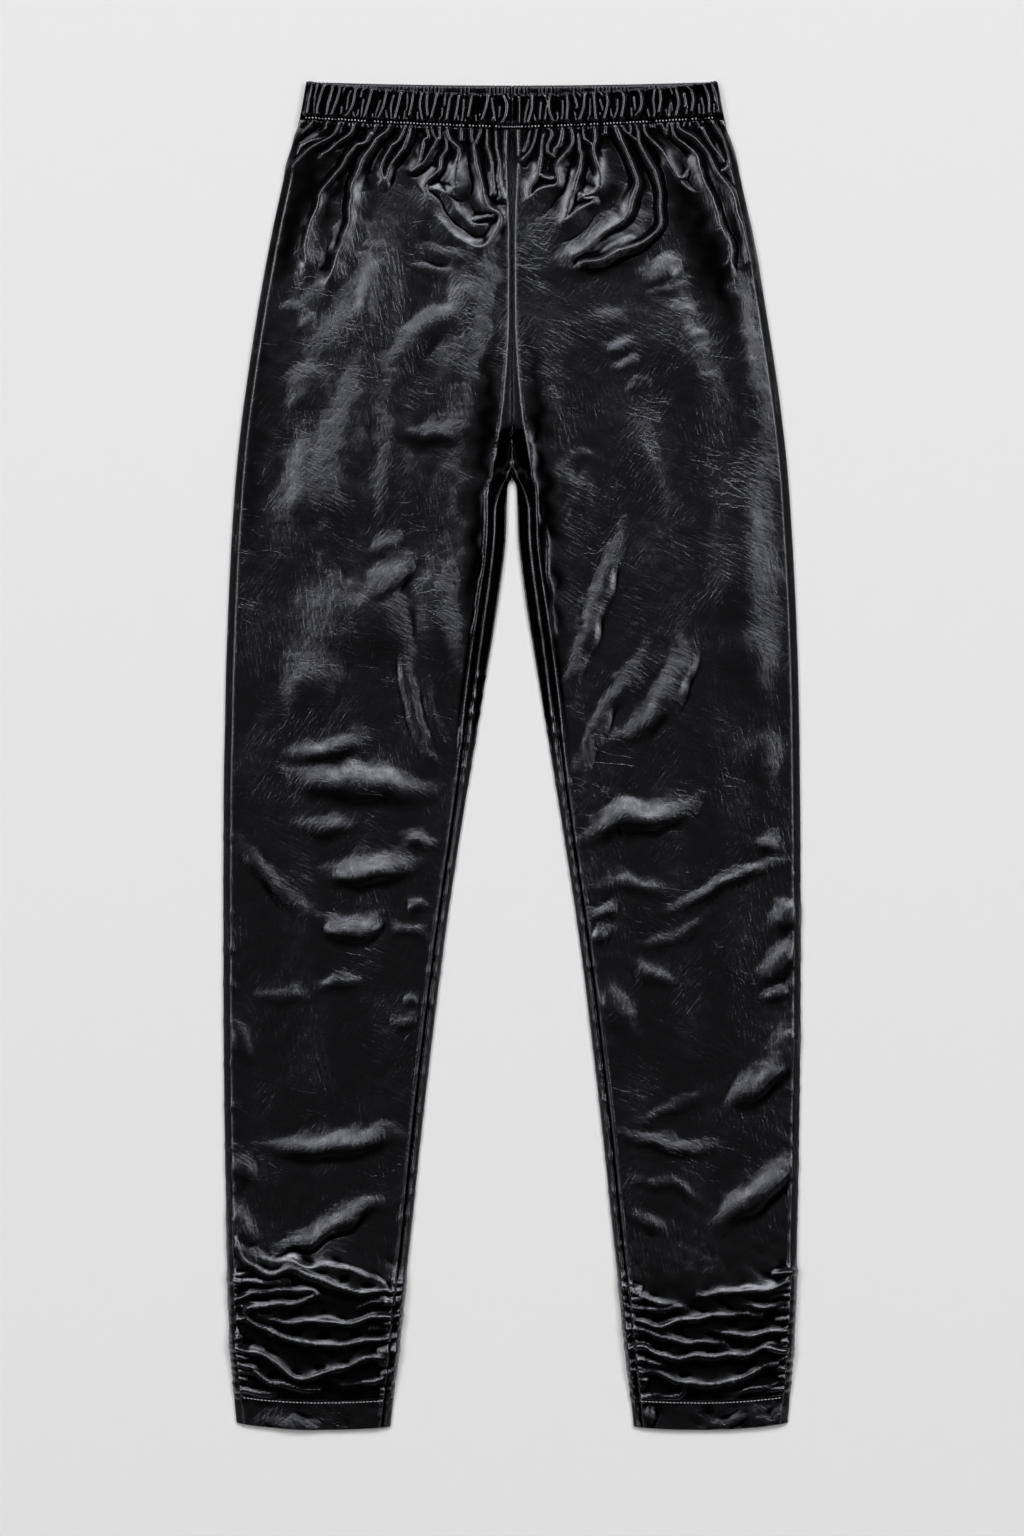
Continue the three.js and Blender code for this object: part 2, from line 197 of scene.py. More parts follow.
# %% Measured outline
TOP_Y, BAND_Y, CUFF_Y, HEM_Y = 480.0, 448.5, -459.5, -480.0
CROTCH_Y, FORK_Y = 223.5, 197.5  # the lowest point of the centre seam, and where the legs part
SEAM_GAP = 0.3  # between the edges of two pieces
SIDE_STRIP = 4.6  # width of back panel that shows beside the side seam

OUTER_EDGE = [  # y, distance from the centre line
    (480, 146.6), (448.5, 152.2), (420, 160.6), (340, 177), (223.5, 194.2), (110, 202), (0, 205),
    (-120, 205.6), (-240, 205), (-345, 203.1), (-400, 201.6), (-459.5, 198.1), (-480, 196.3),
]
INNER_EDGE = [  # y, distance from the centre line
    (197.5, 0.15), (192, 2.9), (180, 3.7), (150, 4.8), (110, 9.8), (0, 27.8), (-120, 46.4),
    (-240, 61.2), (-345, 72.3), (-400, 78.4), (-459.5, 84.5), (-480, 86.6),
]
INSEAM_STRIP = [  # y, inseam in from the inner edge
    (197.5, 12.8), (150, 12.4), (90, 12.6), (40, 11), (0, 8.8), (-65, 7.2), (-240, 7), (-480, 6.6),
]
UPPER_SIDE = [  # y, height above the table
    (480, 5.6), (440, 5.6), (400, 5.8), (340, 6.2), (0, 6.0), (-320, 6.2), (-390, 7.6),
    (-445, 7.2), (-460, 6.0), (-480, 5.6),
]


def curve_through(table):
    """A smooth curve through a table of (y, value) rows, for whole arrays of y."""
    ys, values = (np.array(column, float) for column in zip(*sorted(table)))
    before = np.maximum(np.arange(len(ys)) - 1, 0)
    after = np.minimum(np.arange(len(ys)) + 1, len(ys) - 1)
    slopes = (values[after] - values[before]) / (ys[after] - ys[before])

    def curve(y):
        y = np.clip(y, ys[0], ys[-1])
        i = np.clip(np.searchsorted(ys, y, side="right") - 1, 0, len(ys) - 2)
        h = ys[i + 1] - ys[i]
        t = (y - ys[i]) / h
        ends = values[i] * (1 + 2 * t) * (1 - t) ** 2 + values[i + 1] * t * t * (3 - 2 * t)
        return ends + slopes[i] * h * t * (1 - t) ** 2 + slopes[i + 1] * h * t * t * (t - 1)

    return curve


outer_edge, inner_edge_leg = curve_through(OUTER_EDGE), curve_through(INNER_EDGE)
inseam_strip, upper_side = curve_through(INSEAM_STRIP), curve_through(UPPER_SIDE)
print("width at hip, knee and ankle:", [round(2 * float(outer_edge(y))) for y in (224, -100, -400)])


# %% [markdown]
# ## Seams and bent rows
#
# The front is joined along the centre as far as the crotch. From there two inseams run down the
# legs, a little in from the edge, because the back panel comes round it. A laid waist isn't
# straight: it dips at the centre, and the hems rise a little towards their corners. So the cloth
# is made in level rows, and each row is bent where it nears one of these ends.

# %% Seams
def smoothstep(value, low, high):
    t = np.clip((value - low) / (high - low), 0.0, 1.0)
    return t * t * (3 - 2 * t)


def inner_edge(y):
    return np.where(y < FORK_Y, inner_edge_leg(y), SEAM_GAP / 2)


TONGUE_TIP = 0.75  # half width of the back panel's tongue where it ends at the crotch


def inner_seam(y):
    """The centre seam above the crotch, and the inseam below it."""
    at_fork = float(inner_edge_leg(FORK_Y) + inseam_strip(FORK_Y))
    share = np.clip((y - FORK_Y) / (CROTCH_Y - FORK_Y), 0, 1)
    tongue = np.maximum(at_fork * (1 - share**3), TONGUE_TIP)
    leg = inner_edge(y) + inseam_strip(y)
    return np.where(y > CROTCH_Y, 0.0, np.where(y > FORK_Y, tongue, leg))


print("inseam at knee and ankle:", [round(float(inner_seam(y))) for y in (-100, -400)])


# %% How the rows bend at both ends
FRONT_SEAM_DIP, BACK_SEAM_DIP = 3.5, 1.2  # dip of the casing seam at the centre
FRONT_TOP_DIP, BACK_TOP_DIP = 8.9, 2.6  # dip of the top edge at the centre
HEM_INNER_RISE, HEM_OUTER_RISE, HEM_LOWEST = 2.0, 4.8, 0.45


def dipped(dip, u, y):
    return dip * np.maximum(0.0, 1 - (u / outer_edge(y)) ** 2)


def bent_row(y, u, seam_dip):
    """Where a point of a level row lies once the row follows the casing seam and the hem."""
    near_band = smoothstep(y, BAND_Y - 70, BAND_Y)
    near_hem = 1 - smoothstep(y, CUFF_Y, CUFF_Y + 40)
    share = np.clip((u - inner_edge(y)) / (outer_edge(y) - inner_edge(y)), 0, 1)
    inner_corner = HEM_INNER_RISE * (1 - share / HEM_LOWEST) ** 2
    outer_corner = HEM_OUTER_RISE * ((share - HEM_LOWEST) / (1 - HEM_LOWEST)) ** 2
    corner = np.where(share < HEM_LOWEST, inner_corner, outer_corner)
    return y - dipped(seam_dip, u, y) * near_band + corner * near_hem


print("the top edge dips", FRONT_TOP_DIP, "mm in front and", BACK_TOP_DIP, "mm behind")

# %% [markdown]
# ## Folds
#
# A fold is drawn as one stroke along a smooth path, like a line of crayon pressed into the
# cloth. First comes the path: a few points and a smooth line through them. Then, for each point
# of the cloth, comes where it lies beside that line: how far to the left, how far past its ends
# and how far along. Every kind of fold is a profile over these three.
#
# Sculpting would give the same shapes, but strokes in a table can be read, moved and repeated.

# %% A smooth line through a few points
def along(points, steps=9):
    """A smooth line through a few points."""
    p = np.array(points, float)
    if len(p) == 2:
        return p[0] + (p[1] - p[0]) * np.linspace(0, 1, steps)[:, None]
    p = np.vstack([2 * p[0] - p[1], p, 2 * p[-1] - p[-2]])
    line = []
    for i in range(1, len(p) - 2):
        t = np.linspace(0, 1, steps, endpoint=False)[:, None]
        a, b, c, d = p[i - 1 : i + 3]
        bend, twist = 2 * a - 5 * b + 4 * c - d, 3 * b - a - 3 * c + d
        line.append(0.5 * (2 * b + (c - a) * t + bend * t**2 + twist * t**3))
    return np.vstack([*line, p[-2:-1]])


print("a path of three points becomes", len(along(((0, 0), (10, 5), (20, 0)))), "points")


# %% Where points lie beside a line
LIGHT_WAY = (0.6, 0.8)  # from the garment towards the soft boxes: outwards, and up to the waist


def follow(line, x, y):
    """For each point: how far left of the line, how far past its ends, the share of the line
    behind it, and whether the left side of the line faces the soft boxes there."""
    a, step = line[:-1], np.diff(line, axis=0)
    long2 = (step**2).sum(axis=1)
    best = np.full(x.shape, 1e9)
    side, over, where, faces = (np.zeros(x.shape) for _ in range(4))
    travelled = np.concatenate([[0], np.cumsum(np.sqrt(long2))])
    last = len(a) - 1
    for i in range(len(a)):
        dx, dy = x - a[i, 0], y - a[i, 1]
        t_free = (dx * step[i, 0] + dy * step[i, 1]) / long2[i]
        t = np.clip(t_free, 0, 1)
        distance = np.hypot(dx - t * step[i, 0], dy - t * step[i, 1])
        closer = distance < best
        cross = step[i, 0] * dy - step[i, 1] * dx
        length = math.sqrt(long2[i])
        past = np.zeros(x.shape)
        if i == 0:
            past += np.maximum(-t_free, 0)
        if i == last:
            past += np.maximum(t_free - 1, 0)
        past *= length
        across = np.where(past > 0, np.abs(cross) / length, distance)
        best = np.where(closer, distance, best)
        side = np.where(closer, np.sign(cross) * across, side)
        over = np.where(closer, past, over)
        where = np.where(closer, (travelled[i] + t * length) / travelled[-1], where)
        to_light = (LIGHT_WAY[1] * step[i, 0] - LIGHT_WAY[0] * np.sign(x) * step[i, 1]) / length
        faces = np.where(closer, to_light, faces)
    return side, over, where, faces


def near_line(line, x, y, reach):
    """Which points can be reached from the line at all. The rest is left out, to save time."""
    low, high = line.min(axis=0) - reach, line.max(axis=0) + reach
    return (x > low[0]) & (x < high[0]) & (y > low[1]) & (y < high[1])


# %% [markdown]
# ## Four kinds of stroke
#
# A cross fold is a soft narrow ridge, which may lean over: its near side and its far side have
# different widths. A gather is a sharp ridge, where the elastic pushes the cloth together. Its
# sides run straight down until the next one begins, so many of them meet in black valleys. A
# broad fold is a face that leans towards the light, with a back that is longer or shorter. The
# fourth kind has no height: it marks where wear has made the coating dull, and where shade is
# painted.
#
# Cross folds and broad folds are added to the height, as they lie on top of each other. Gathers
# are joined by taking the higher one, because two tents side by side don't pile up.

# %% Cross folds
CROSS_REACH = 3.6  # widths from its path at which a cross fold has died away
CROSS_POWER = 1.15  # 2 would make a round bell, and 1 a sharp tent


def press(height, x, y, fold):
    """Adds one cross fold to the height field, on the points that it reaches."""
    line = along(fold["path"])
    near, far, tip = fold["near"], fold["far"], fold["tip"]
    inside = near_line(line, x, y, CROSS_REACH * max(near, far))
    if not inside.any():
        return
    side, over, where, _ = follow(line, x[inside], y[inside])
    lean = smoothstep(side, -1.0, 1.0)
    width = (far + (near - far) * lean) * (1 + (tip - 1) * where)
    cap = 0.5 * (near + far) * np.where(where > 0.5, tip, 1.0)
    at_end = np.where(where < 0.5, fold["start"], fold["end"])
    fullness = at_end + (1 - at_end) * np.sin(math.pi * where)
    off = np.hypot(np.sqrt(side**2 + 0.25) - 0.5, over * width / cap) / width
    height[inside] += fold["rise"] * fullness * np.exp(-(off**CROSS_POWER))


# %% Gathers
STEEPEST = 0.95  # slope of a gather's sides: steeper ones would mirror the pale table
BEVEL = 0.30  # slope that mirrors a soft box straight up


def pleat(height, x, y, fold):
    """Raises a sharp gather. It runs straight down on both sides, until the next one begins."""
    line = along(fold["path"])
    widest = max(fold["left"], fold["right"], fold["left_end"], fold["right_end"])
    inside = near_line(line, x, y, 3 * widest)
    if not inside.any():
        return
    side, over, where, faces = follow(line, x[inside], y[inside])
    later = smoothstep(where, 0.15, 0.9)
    left = fold["left"] + (fold["left_end"] - fold["left"]) * later
    right = fold["right"] + (fold["right_end"] - fold["right"]) * later
    width = right + (left - right) * smoothstep(side, -0.5, 0.5)
    rise = fold["rise"] + (fold["rise_end"] - fold["rise"]) * later
    narrow = STEEPEST * np.minimum(left, right)
    rise = narrow * np.tanh(rise / narrow)
    crest = fold.get("crest", 0.4 + 0.6 * smoothstep(width, 4, 9))
    cap = 0.6 * (left + right)
    off = np.hypot(np.sqrt(side**2 + crest**2) - crest, over * width / cap) / width
    straight = np.maximum(1 - off, 0)
    fading = np.exp(-(off**1.1))
    # the side that faces the boxes starts with a gentle bevel, which shows as one bright line
    strip = width * (0.21 + 0.31 * smoothstep(width, 4, 8))
    lit = smoothstep(side * np.sign(faces), -0.15, 0.15)
    bevel = np.minimum(BEVEL * np.minimum(off * width, strip), rise)
    below = rise - np.minimum(BEVEL * strip, rise)
    rest = below * np.clip((off * width - strip) / (width - strip), 0, 1)
    beveled = np.maximum(1 - (bevel + rest) / rise, 0)
    straight = straight + (beveled - straight) * lit
    steep = smoothstep(rise / width, 0.45, 0.75)
    raised = rise * (steep * straight + (1 - steep) * fading)
    height[inside] = np.maximum(height[inside], raised)


# %% Broad folds, worn places and painted shade
SHINE_LEAST, SHINE = 0.055, 0.13  # rise of a broad fold for each millimetre of its width


def width_along(fold, where):
    """The width of a broad fold at a share of its path, through its first, middle and last one."""
    w0, w1, w2 = fold["widths"]
    middle = 2 * w1 - 0.5 * (w0 + w2)
    return w0 * (1 - where) ** 2 + 2 * middle * where * (1 - where) + w2 * where**2


def swell(height, x, y, fold):
    """Adds a broad fold: a face that leans towards the light, and a longer or shorter back."""
    line = along(fold["path"])
    widest = 1.5 * max(fold["widths"])
    inside = near_line(line, x, y, (1 + fold["back"]) * widest + 4)
    if not inside.any():
        return
    side, over, where, _ = follow(line, x[inside], y[inside])
    width = 1.5 * width_along(fold, where)
    face = np.clip(side / width + 0.5, 0, 1)
    back = np.clip(-(side / width + 0.5) / fold["back"], 0, 1)
    profile = 0.25 * (1 + np.cos(math.pi * face)) * (1 + np.cos(math.pi * back))
    fade = smoothstep(where, -0.1, 0.4) * (1 - smoothstep(where, 0.6, 1.1))
    fade = fade * np.exp(-((over / (0.8 * width)) ** 2))
    slope = fold["lift"] * (SHINE_LEAST + SHINE * fold["shine"])
    height[inside] += slope * width * profile * fade


def glow(value, x, y, fold):
    """Marks a place along a path, from 0 to 1, as strongly as the fold's shine. It marks dull
    places, and the places of painted shade.
    """
    line = along(fold["path"])
    inside = near_line(line, x, y, 3 * max(fold["widths"]) + 4)
    if not inside.any():
        return
    side, over, where, _ = follow(line, x[inside], y[inside])
    width = width_along(fold, where)
    fade = smoothstep(where, -0.15, 0.25) * (1 - smoothstep(where, 0.75, 1.15))
    patch = np.exp(-((side / (0.62 * width)) ** 2) - (over / (0.7 * width)) ** 2)
    value[inside] = 1 - (1 - value[inside]) * (1 - fold["shine"] * fade * patch)


# %% Unevenness
def waves(x, y, length, seed, count=14):
    """Smooth unevenness about one unit high, made of a few sine waves of about one length."""
    random = np.random.default_rng(seed)
    total = np.zeros(np.shape(x))
    for _ in range(count):
        angle, phase = random.uniform(0, 2 * math.pi, 2)
        k = 2 * math.pi / (length * random.uniform(0.7, 1.5))
        total += np.sin(k * (x * math.cos(angle) + y * math.sin(angle)) + phase)
    return total / math.sqrt(count / 2)


# %% [markdown]
# ## Where the folds lie
#
# Four things make the folds of this garment. The elastic waist gathers the cloth into valleys
# that fan out and close in round ends. Walking and sitting leave long soft folds on the thigh.
# The knee breaks the leg into cross folds that run out of the inseam. And an elastic in the
# seams of the ankle draws the lower leg up into a stack of tight cross folds.
#
# The signs follow the wearer: negative x is the right leg, which is on the left from above.

# %% Gathers under the waist, right leg
GATHERS_RIGHT = [  # path from the waist down, then left width, right width and rise, at both ends
    # beside the side seam
    (((-140, 453), (-145, 445), (-150, 440), (-154, 434), (-156, 427),
      (-157, 421)), 3, 3, 4.5, 2.4, 5, 2.2),
    (((-122, 453), (-127, 441), (-135, 436), (-143, 430), (-150, 424),
      (-158, 419)), 4, 4, 5.5, 5, 3, 2.6),
    (((-129, 441), (-138, 438), (-147, 433)), 5, 3, 2.2, 5, 3, 1),
    (((-120, 453), (-123, 442), (-127, 434), (-130, 430)), 2.5, 2.5, 4.4, 2, 2, 2.6),
    (((-110, 453), (-113, 444), (-117, 439), (-123, 435), (-128, 431),
      (-135, 427)), 3, 5, 5, 4, 2.5, 2.6),
    # the two long folds
    (((-99, 442), (-104, 436), (-109, 434), (-113, 429), (-120, 421), (-128, 411), (-135, 402),
      (-138, 393), (-141, 385), (-143, 378), (-146, 366), (-147, 352)), 4, 3.4, 3.8, 6, 2.8, 1.6),
    (((-86, 452), (-90, 442), (-97, 437), (-102, 431), (-106, 424), (-109, 417), (-111, 410),
      (-113, 402), (-113, 396), (-115, 388), (-117, 378), (-120, 366), (-124, 355),
      (-129, 342)), 4, 4, 5.4, 8, 3.2, 2),
    (((-96, 453), (-97, 444), (-98.5, 440)), 2.5, 2.5, 3.8, 2, 2, 1.6),
    # a closed hollow, drawn by its two rims
    (((-72, 451), (-80, 437), (-86, 432), (-91, 423), (-93, 414),
      (-91, 408)), 3, 4, 4.6, 3, 3.4, 1.9),
    (((-68, 453), (-76, 435), (-80, 428), (-84, 419), (-86, 412),
      (-89, 407)), 4, 3, 4.8, 3.4, 3.4, 1.9),
    # a narrow one with a sharp tip
    (((-58, 453), (-56, 441), (-54.5, 437)), 2.4, 2.4, 4.2, 2.2, 2.2, 3.4),
    (((-50, 453), (-51, 441), (-54, 437), (-57, 431), (-60, 425), (-64, 421),
      (-70, 417)), 3.2, 3.2, 4.6, 5, 2.6, 2.6),
    (((-61, 452), (-60, 438), (-63.5, 435), (-64.5, 430), (-66, 424),
      (-70, 417)), 2.8, 3.2, 3.8, 2.6, 4, 2.4),
    # the bright pair that ends in the large hollow
    (((-47, 445), (-47, 432), (-49, 425), (-49, 418), (-52, 414), (-58, 410), (-62, 406),
      (-61.5, 400), (-58, 394)), 3, 3, 4, 5, 8, 2),
    (((-45, 453), (-44, 440), (-41, 434), (-38.5, 430), (-38, 425), (-39, 418), (-41, 410),
      (-41, 405), (-44, 400)), 4, 3.4, 5.2, 7, 6, 2.4),
    (((-58, 403), (-50, 401), (-45, 396), (-40, 388), (-33, 382),
      (-26, 377)), 6, 9, 1.8, 6, 9, 1.3),
    (((-60, 397), (-56, 385), (-46, 373), (-34, 365), (-20, 362), (-13, 369), (-10, 380),
      (-12, 386)), 9, 16, 1.9, 4, 3.4, 2.2),
    # beside the centre
    (((-31, 453), (-29, 438), (-27, 433)), 2.6, 2.6, 4.2, 2.4, 2.4, 3.4),
    (((-22, 453), (-25.5, 437), (-27, 433), (-26.5, 428), (-25, 420), (-22, 408), (-19, 397),
      (-16, 389), (-12, 385)), 3.4, 4, 4.8, 4, 6, 2.2),
    (((-19, 453), (-17.5, 435), (-15.5, 428), (-14, 420), (-12.5, 412),
      (-12, 400)), 3.2, 3.2, 4.4, 3, 3.6, 2),
    (((-11, 452), (-10, 434), (-9, 428), (-9, 415), (-8, 405),
      (-7, 396)), 2.4, 2.4, 3, 2.4, 3, 1.4),
    (((-25, 380), (-19, 382.5), (-15, 382.5), (-11, 384.5)), 3, 3, 1.4, 3, 3, 1.6),
    (((-78, 453), (-77, 446)), 2.2, 2.2, 3.4, 2, 2, 2),
    (((-104, 453), (-105, 447)), 2.2, 2.2, 3.4, 2, 2, 2),
    (((-36, 453), (-36, 440), (-36, 437)), 2.4, 2.4, 3.6, 2, 2, 1.6),
    (((-131, 453), (-134, 446)), 2.6, 2.6, 3.4, 2, 2, 2),
]

# %% Gathers under the waist, left leg
GATHERS_LEFT = [
    (((17.5, 453), (16.5, 440), (14, 434), (10, 427), (7, 423)), 3, 3, 4.6, 3.2, 3, 2.6),
    (((12, 453), (10, 436), (9, 429)), 2.2, 2.2, 3, 2, 2, 1.2),
    # a hook
    (((25, 450), (29.5, 442), (29, 437), (27, 433), (26.5, 428),
      (29, 425)), 2.6, 2.6, 3.8, 3, 2.4, 2.6),
    (((35, 453), (34.5, 435), (32, 430), (30, 427)), 2.4, 2.4, 3.4, 2, 2, 1.4),
    # a hollow with a bright tip
    (((24, 441), (22, 430), (20.5, 422), (19.5, 415), (17, 407), (14.5, 402),
      (14, 396)), 3, 3.4, 3.4, 3, 6, 2.2),
    (((20, 413), (22.5, 410), (27, 410), (31, 413)), 3, 2.4, 1.8, 3, 2.4, 1.8),
    (((39, 453), (41, 441), (41.5, 436), (39, 430), (35, 425), (31, 420), (30.5, 415),
      (31.5, 411), (30, 407), (25, 404), (20, 400), (15, 396)), 4, 3.4, 5, 7, 3.2, 2.6),
    # a long hollow with a closed end
    (((45, 441), (48, 431), (50, 427), (49.5, 421), (48, 413), (45.5, 404), (43, 397), (41, 390),
      (39, 384), (37, 379)), 3.2, 3.4, 3.8, 5, 9, 2.2),
    (((50, 453), (50, 439), (53, 436), (57.5, 434)), 2.4, 2.4, 4.2, 2.4, 2.4, 3.6),
    (((58, 453), (59.5, 440), (58, 433), (60, 425), (61, 417), (61.5, 410), (61, 404), (57, 400),
      (50, 397.5)), 3.4, 3.2, 4.8, 8, 4, 1.6),
    (((49, 399), (53, 396), (58, 396), (57, 392.5), (51, 389), (45, 385),
      (38, 380)), 3, 4, 1.8, 8, 4.5, 2.4),
    # the great curve, first rim
    (((71, 453), (76, 438), (79, 431), (83, 424), (87, 417), (89.5, 409), (88.5, 401), (86, 391),
      (81, 382), (72, 375), (62, 368.5), (52, 362), (43, 355)), 4, 3.6, 4.6, 4, 7, 1.9),
    # and the second one outside it
    (((75, 452), (79, 442), (83, 439), (88, 436), (90.5, 434)), 2.4, 2.4, 3.6, 2.4, 2.4, 3.2),
    (((82.5, 453), (83.5, 445), (83, 440)), 2.2, 2.2, 3.4, 2, 2, 2.4),
    (((86, 453), (89, 443), (90.5, 435), (94, 428), (98, 421), (101, 416), (103, 409), (104, 400),
      (104, 392), (105, 385), (106, 378), (103, 371), (96, 366.5), (88, 363), (79, 359),
      (70, 355.5), (60, 352), (50, 349.5)), 4, 3.6, 5, 4, 3.6, 1.8),
    (((104, 453), (108, 445), (110, 441)), 2.4, 2.4, 3.8, 2, 2, 2.6),
    (((110.5, 453), (110, 441)), 2.2, 2.2, 3.4, 2, 2, 2.6),
    (((94, 453), (95, 443), (100, 436), (106, 430), (110, 423), (115, 416), (119, 411),
      (124, 405), (131, 399)), 3.4, 3.4, 3, 5, 4, 1),
    (((119, 411), (123, 411), (127, 416)), 3, 2.4, 1.4, 3, 2.4, 1),
    (((112, 453), (116, 441), (120, 436), (124, 433), (128, 428), (131, 421), (135, 413),
      (138, 405), (142, 396), (144, 390), (147, 383), (150, 374), (153, 364),
      (156, 352)), 3.6, 3.6, 3.2, 4.5, 12, 2.4),
    (((115, 453), (119, 446), (123, 443), (130, 439), (133, 434), (136, 429), (140, 423),
      (145, 417), (150, 410), (154, 402), (158, 393), (161, 383), (164, 373), (167, 362),
      (170, 350)), 4, 4, 5, 4, 9, 2.6),
    (((122, 453), (122.5, 444)), 2.2, 2.2, 3.6, 2, 2, 3),
    # the hollow at the side seam
    (((142, 453), (148, 442), (152, 437), (154.5, 430), (155, 423), (153, 418), (149, 416.5),
      (144, 420), (140, 425)), 3, 3.4, 4, 5, 3.4, 1.6),
    (((136, 446), (141, 434), (146, 428), (150, 423)), 2.6, 2.6, 2.6, 4, 3, 1.6),
    (((66, 453), (67, 444)), 2.2, 2.2, 3.4, 2, 2, 1.6),
    (((130, 453), (134, 446)), 2.6, 2.6, 3.4, 2, 2, 2),
]
CURL = [  # the thin lip of the curl beside the crotch, and the lines of the inner legs
    (((10.5, 224), (13, 205), (16, 184), (20, 168), (26.6, 161), (34, 166),
      (41, 180)), 4, 5, 1.3, 5, 4, 0.8),
    (((-16, 185), (-18, 155), (-22, 120), (-27, 88)), 3, 4, 1, 3, 4, 0.8),
    (((24, 160), (25, 140), (28, 110), (31, 86)), 4, 3, 1, 4, 3, 0.8),
]
GATHER_COLUMNS = ("path", "left", "right", "rise", "left_end", "right_end", "rise_end")
GATHERS = [dict(zip(GATHER_COLUMNS, row)) for row in GATHERS_RIGHT + GATHERS_LEFT + CURL]
print(len(GATHERS), "gathers")

# %% [markdown]
# ## Broad folds
#
# A row of these tables gives the path, the width of the face at the start, middle and end, how
# much it shines, and how many widths long its back is. The face that shows lies to the left of
# the way the path runs. The knees are pressed harder than the thighs, so their folds stand
# higher for the same width, which the last factor gives.

# %% Broad folds of the right hip and thigh
THIGH_RIGHT = [
    # the long folds that fan out from the waist towards the side seam
    (((-150, 321), (-142, 328), (-136, 338), (-129, 352), (-123, 370), (-119, 384)),
      (11, 8, 6), 1, 1.6),
    (((-155, 328), (-151, 345), (-149, 360), (-146, 384)), (5, 6, 6), 0.5, 1.8),
    (((-163, 320), (-152, 319), (-141, 315)), (3, 3, 2), 0.9, 0.6),
    (((-153, 306), (-147, 311), (-141, 316)), (6, 6, 3), 0.7, 1),
    (((-144, 284), (-138, 296), (-130, 306), (-118, 320), (-108, 338), (-103, 352), (-100, 370)),
      (16, 15, 10), 0.75, 1.6),
    (((-97, 356), (-98, 330), (-99, 310), (-104, 302)), (5, 6, 5), 0.4, 1.6),
    (((-134, 186), (-133, 204), (-131, 220), (-127, 236), (-122, 251), (-116, 264), (-110, 280),
      (-107, 292)), (15, 13, 7), 0.8, 1.5),
    (((-158, 242), (-155, 256), (-150, 270), (-144, 284)), (9, 11, 8), 0.45, 1.7),
    (((-164, 160), (-162, 176), (-158, 192), (-153, 212), (-149, 232)), (14, 14, 9), 0.6, 1.7),
    (((-128, 150), (-136, 168), (-143, 188), (-146, 206)), (16, 14, 8), 0.3, 1.8),
    (((-123, 115), (-130, 128), (-140, 143)), (4, 5, 3), 0.6, 0.8),
    (((-140, 60), (-142, 90), (-146, 126)), (24, 26, 18), 0.25, 1.6),
    # the fold that crosses the thigh from the centre seam
    (((-93, 260), (-89, 272), (-85, 285), (-78, 297), (-69, 306), (-59, 313), (-44, 318),
      (-24, 324)), (9, 10, 8), 0.7, 1),
    (((-94, 170), (-96, 190), (-93, 214), (-93, 236), (-92, 264)), (8, 11, 9), 0.5, 1.4),
    # beside the centre seam
    (((-17, 374), (-16, 350), (-18, 326), (-22, 306), (-27, 288), (-32, 268), (-35, 250),
      (-37, 238)), (9, 10, 9), 0.75, 1.8),
    (((-74, 229), (-58, 232), (-44, 236), (-33, 241)), (5, 9, 9), 0.65, 0.5),
    (((-66, 362), (-44, 359), (-22, 352)), (5, 6, 7), 0.5, 1),
    (((-72, 352), (-50, 346), (-28, 346)), (4, 5, 6), 0.45, 1),
    (((-48, 338), (-34, 335), (-20, 334)), (5, 8, 8), 0.5, 1),
    (((-37, 220), (-38, 200), (-40, 180), (-41, 162), (-41, 146)), (7, 8, 8), 0.35, 1.6),
    (((-40, 142), (-43, 124), (-45, 106), (-41, 84), (-38, 62)), (8, 12, 7), 0.85, 1.2),
    # lower thigh
    (((-102, 146), (-91, 153), (-78, 158)), (6, 8, 5), 0.7, 0.5),
    (((-106, 120), (-95, 127), (-82, 136), (-72, 143)), (10, 13, 6), 0.8, 0.4),
    (((-84, 122), (-80, 100), (-75, 70)), (14, 13, 8), 0.3, 1.6),
    (((-74, 88), (-71, 60), (-67, 34), (-60, 10), (-50, -12)), (6, 7, 4), 0.55, 0.6),
    (((-62, 60), (-56, 34), (-46, 6)), (4, 4, 3), 0.3, 0.6),
]

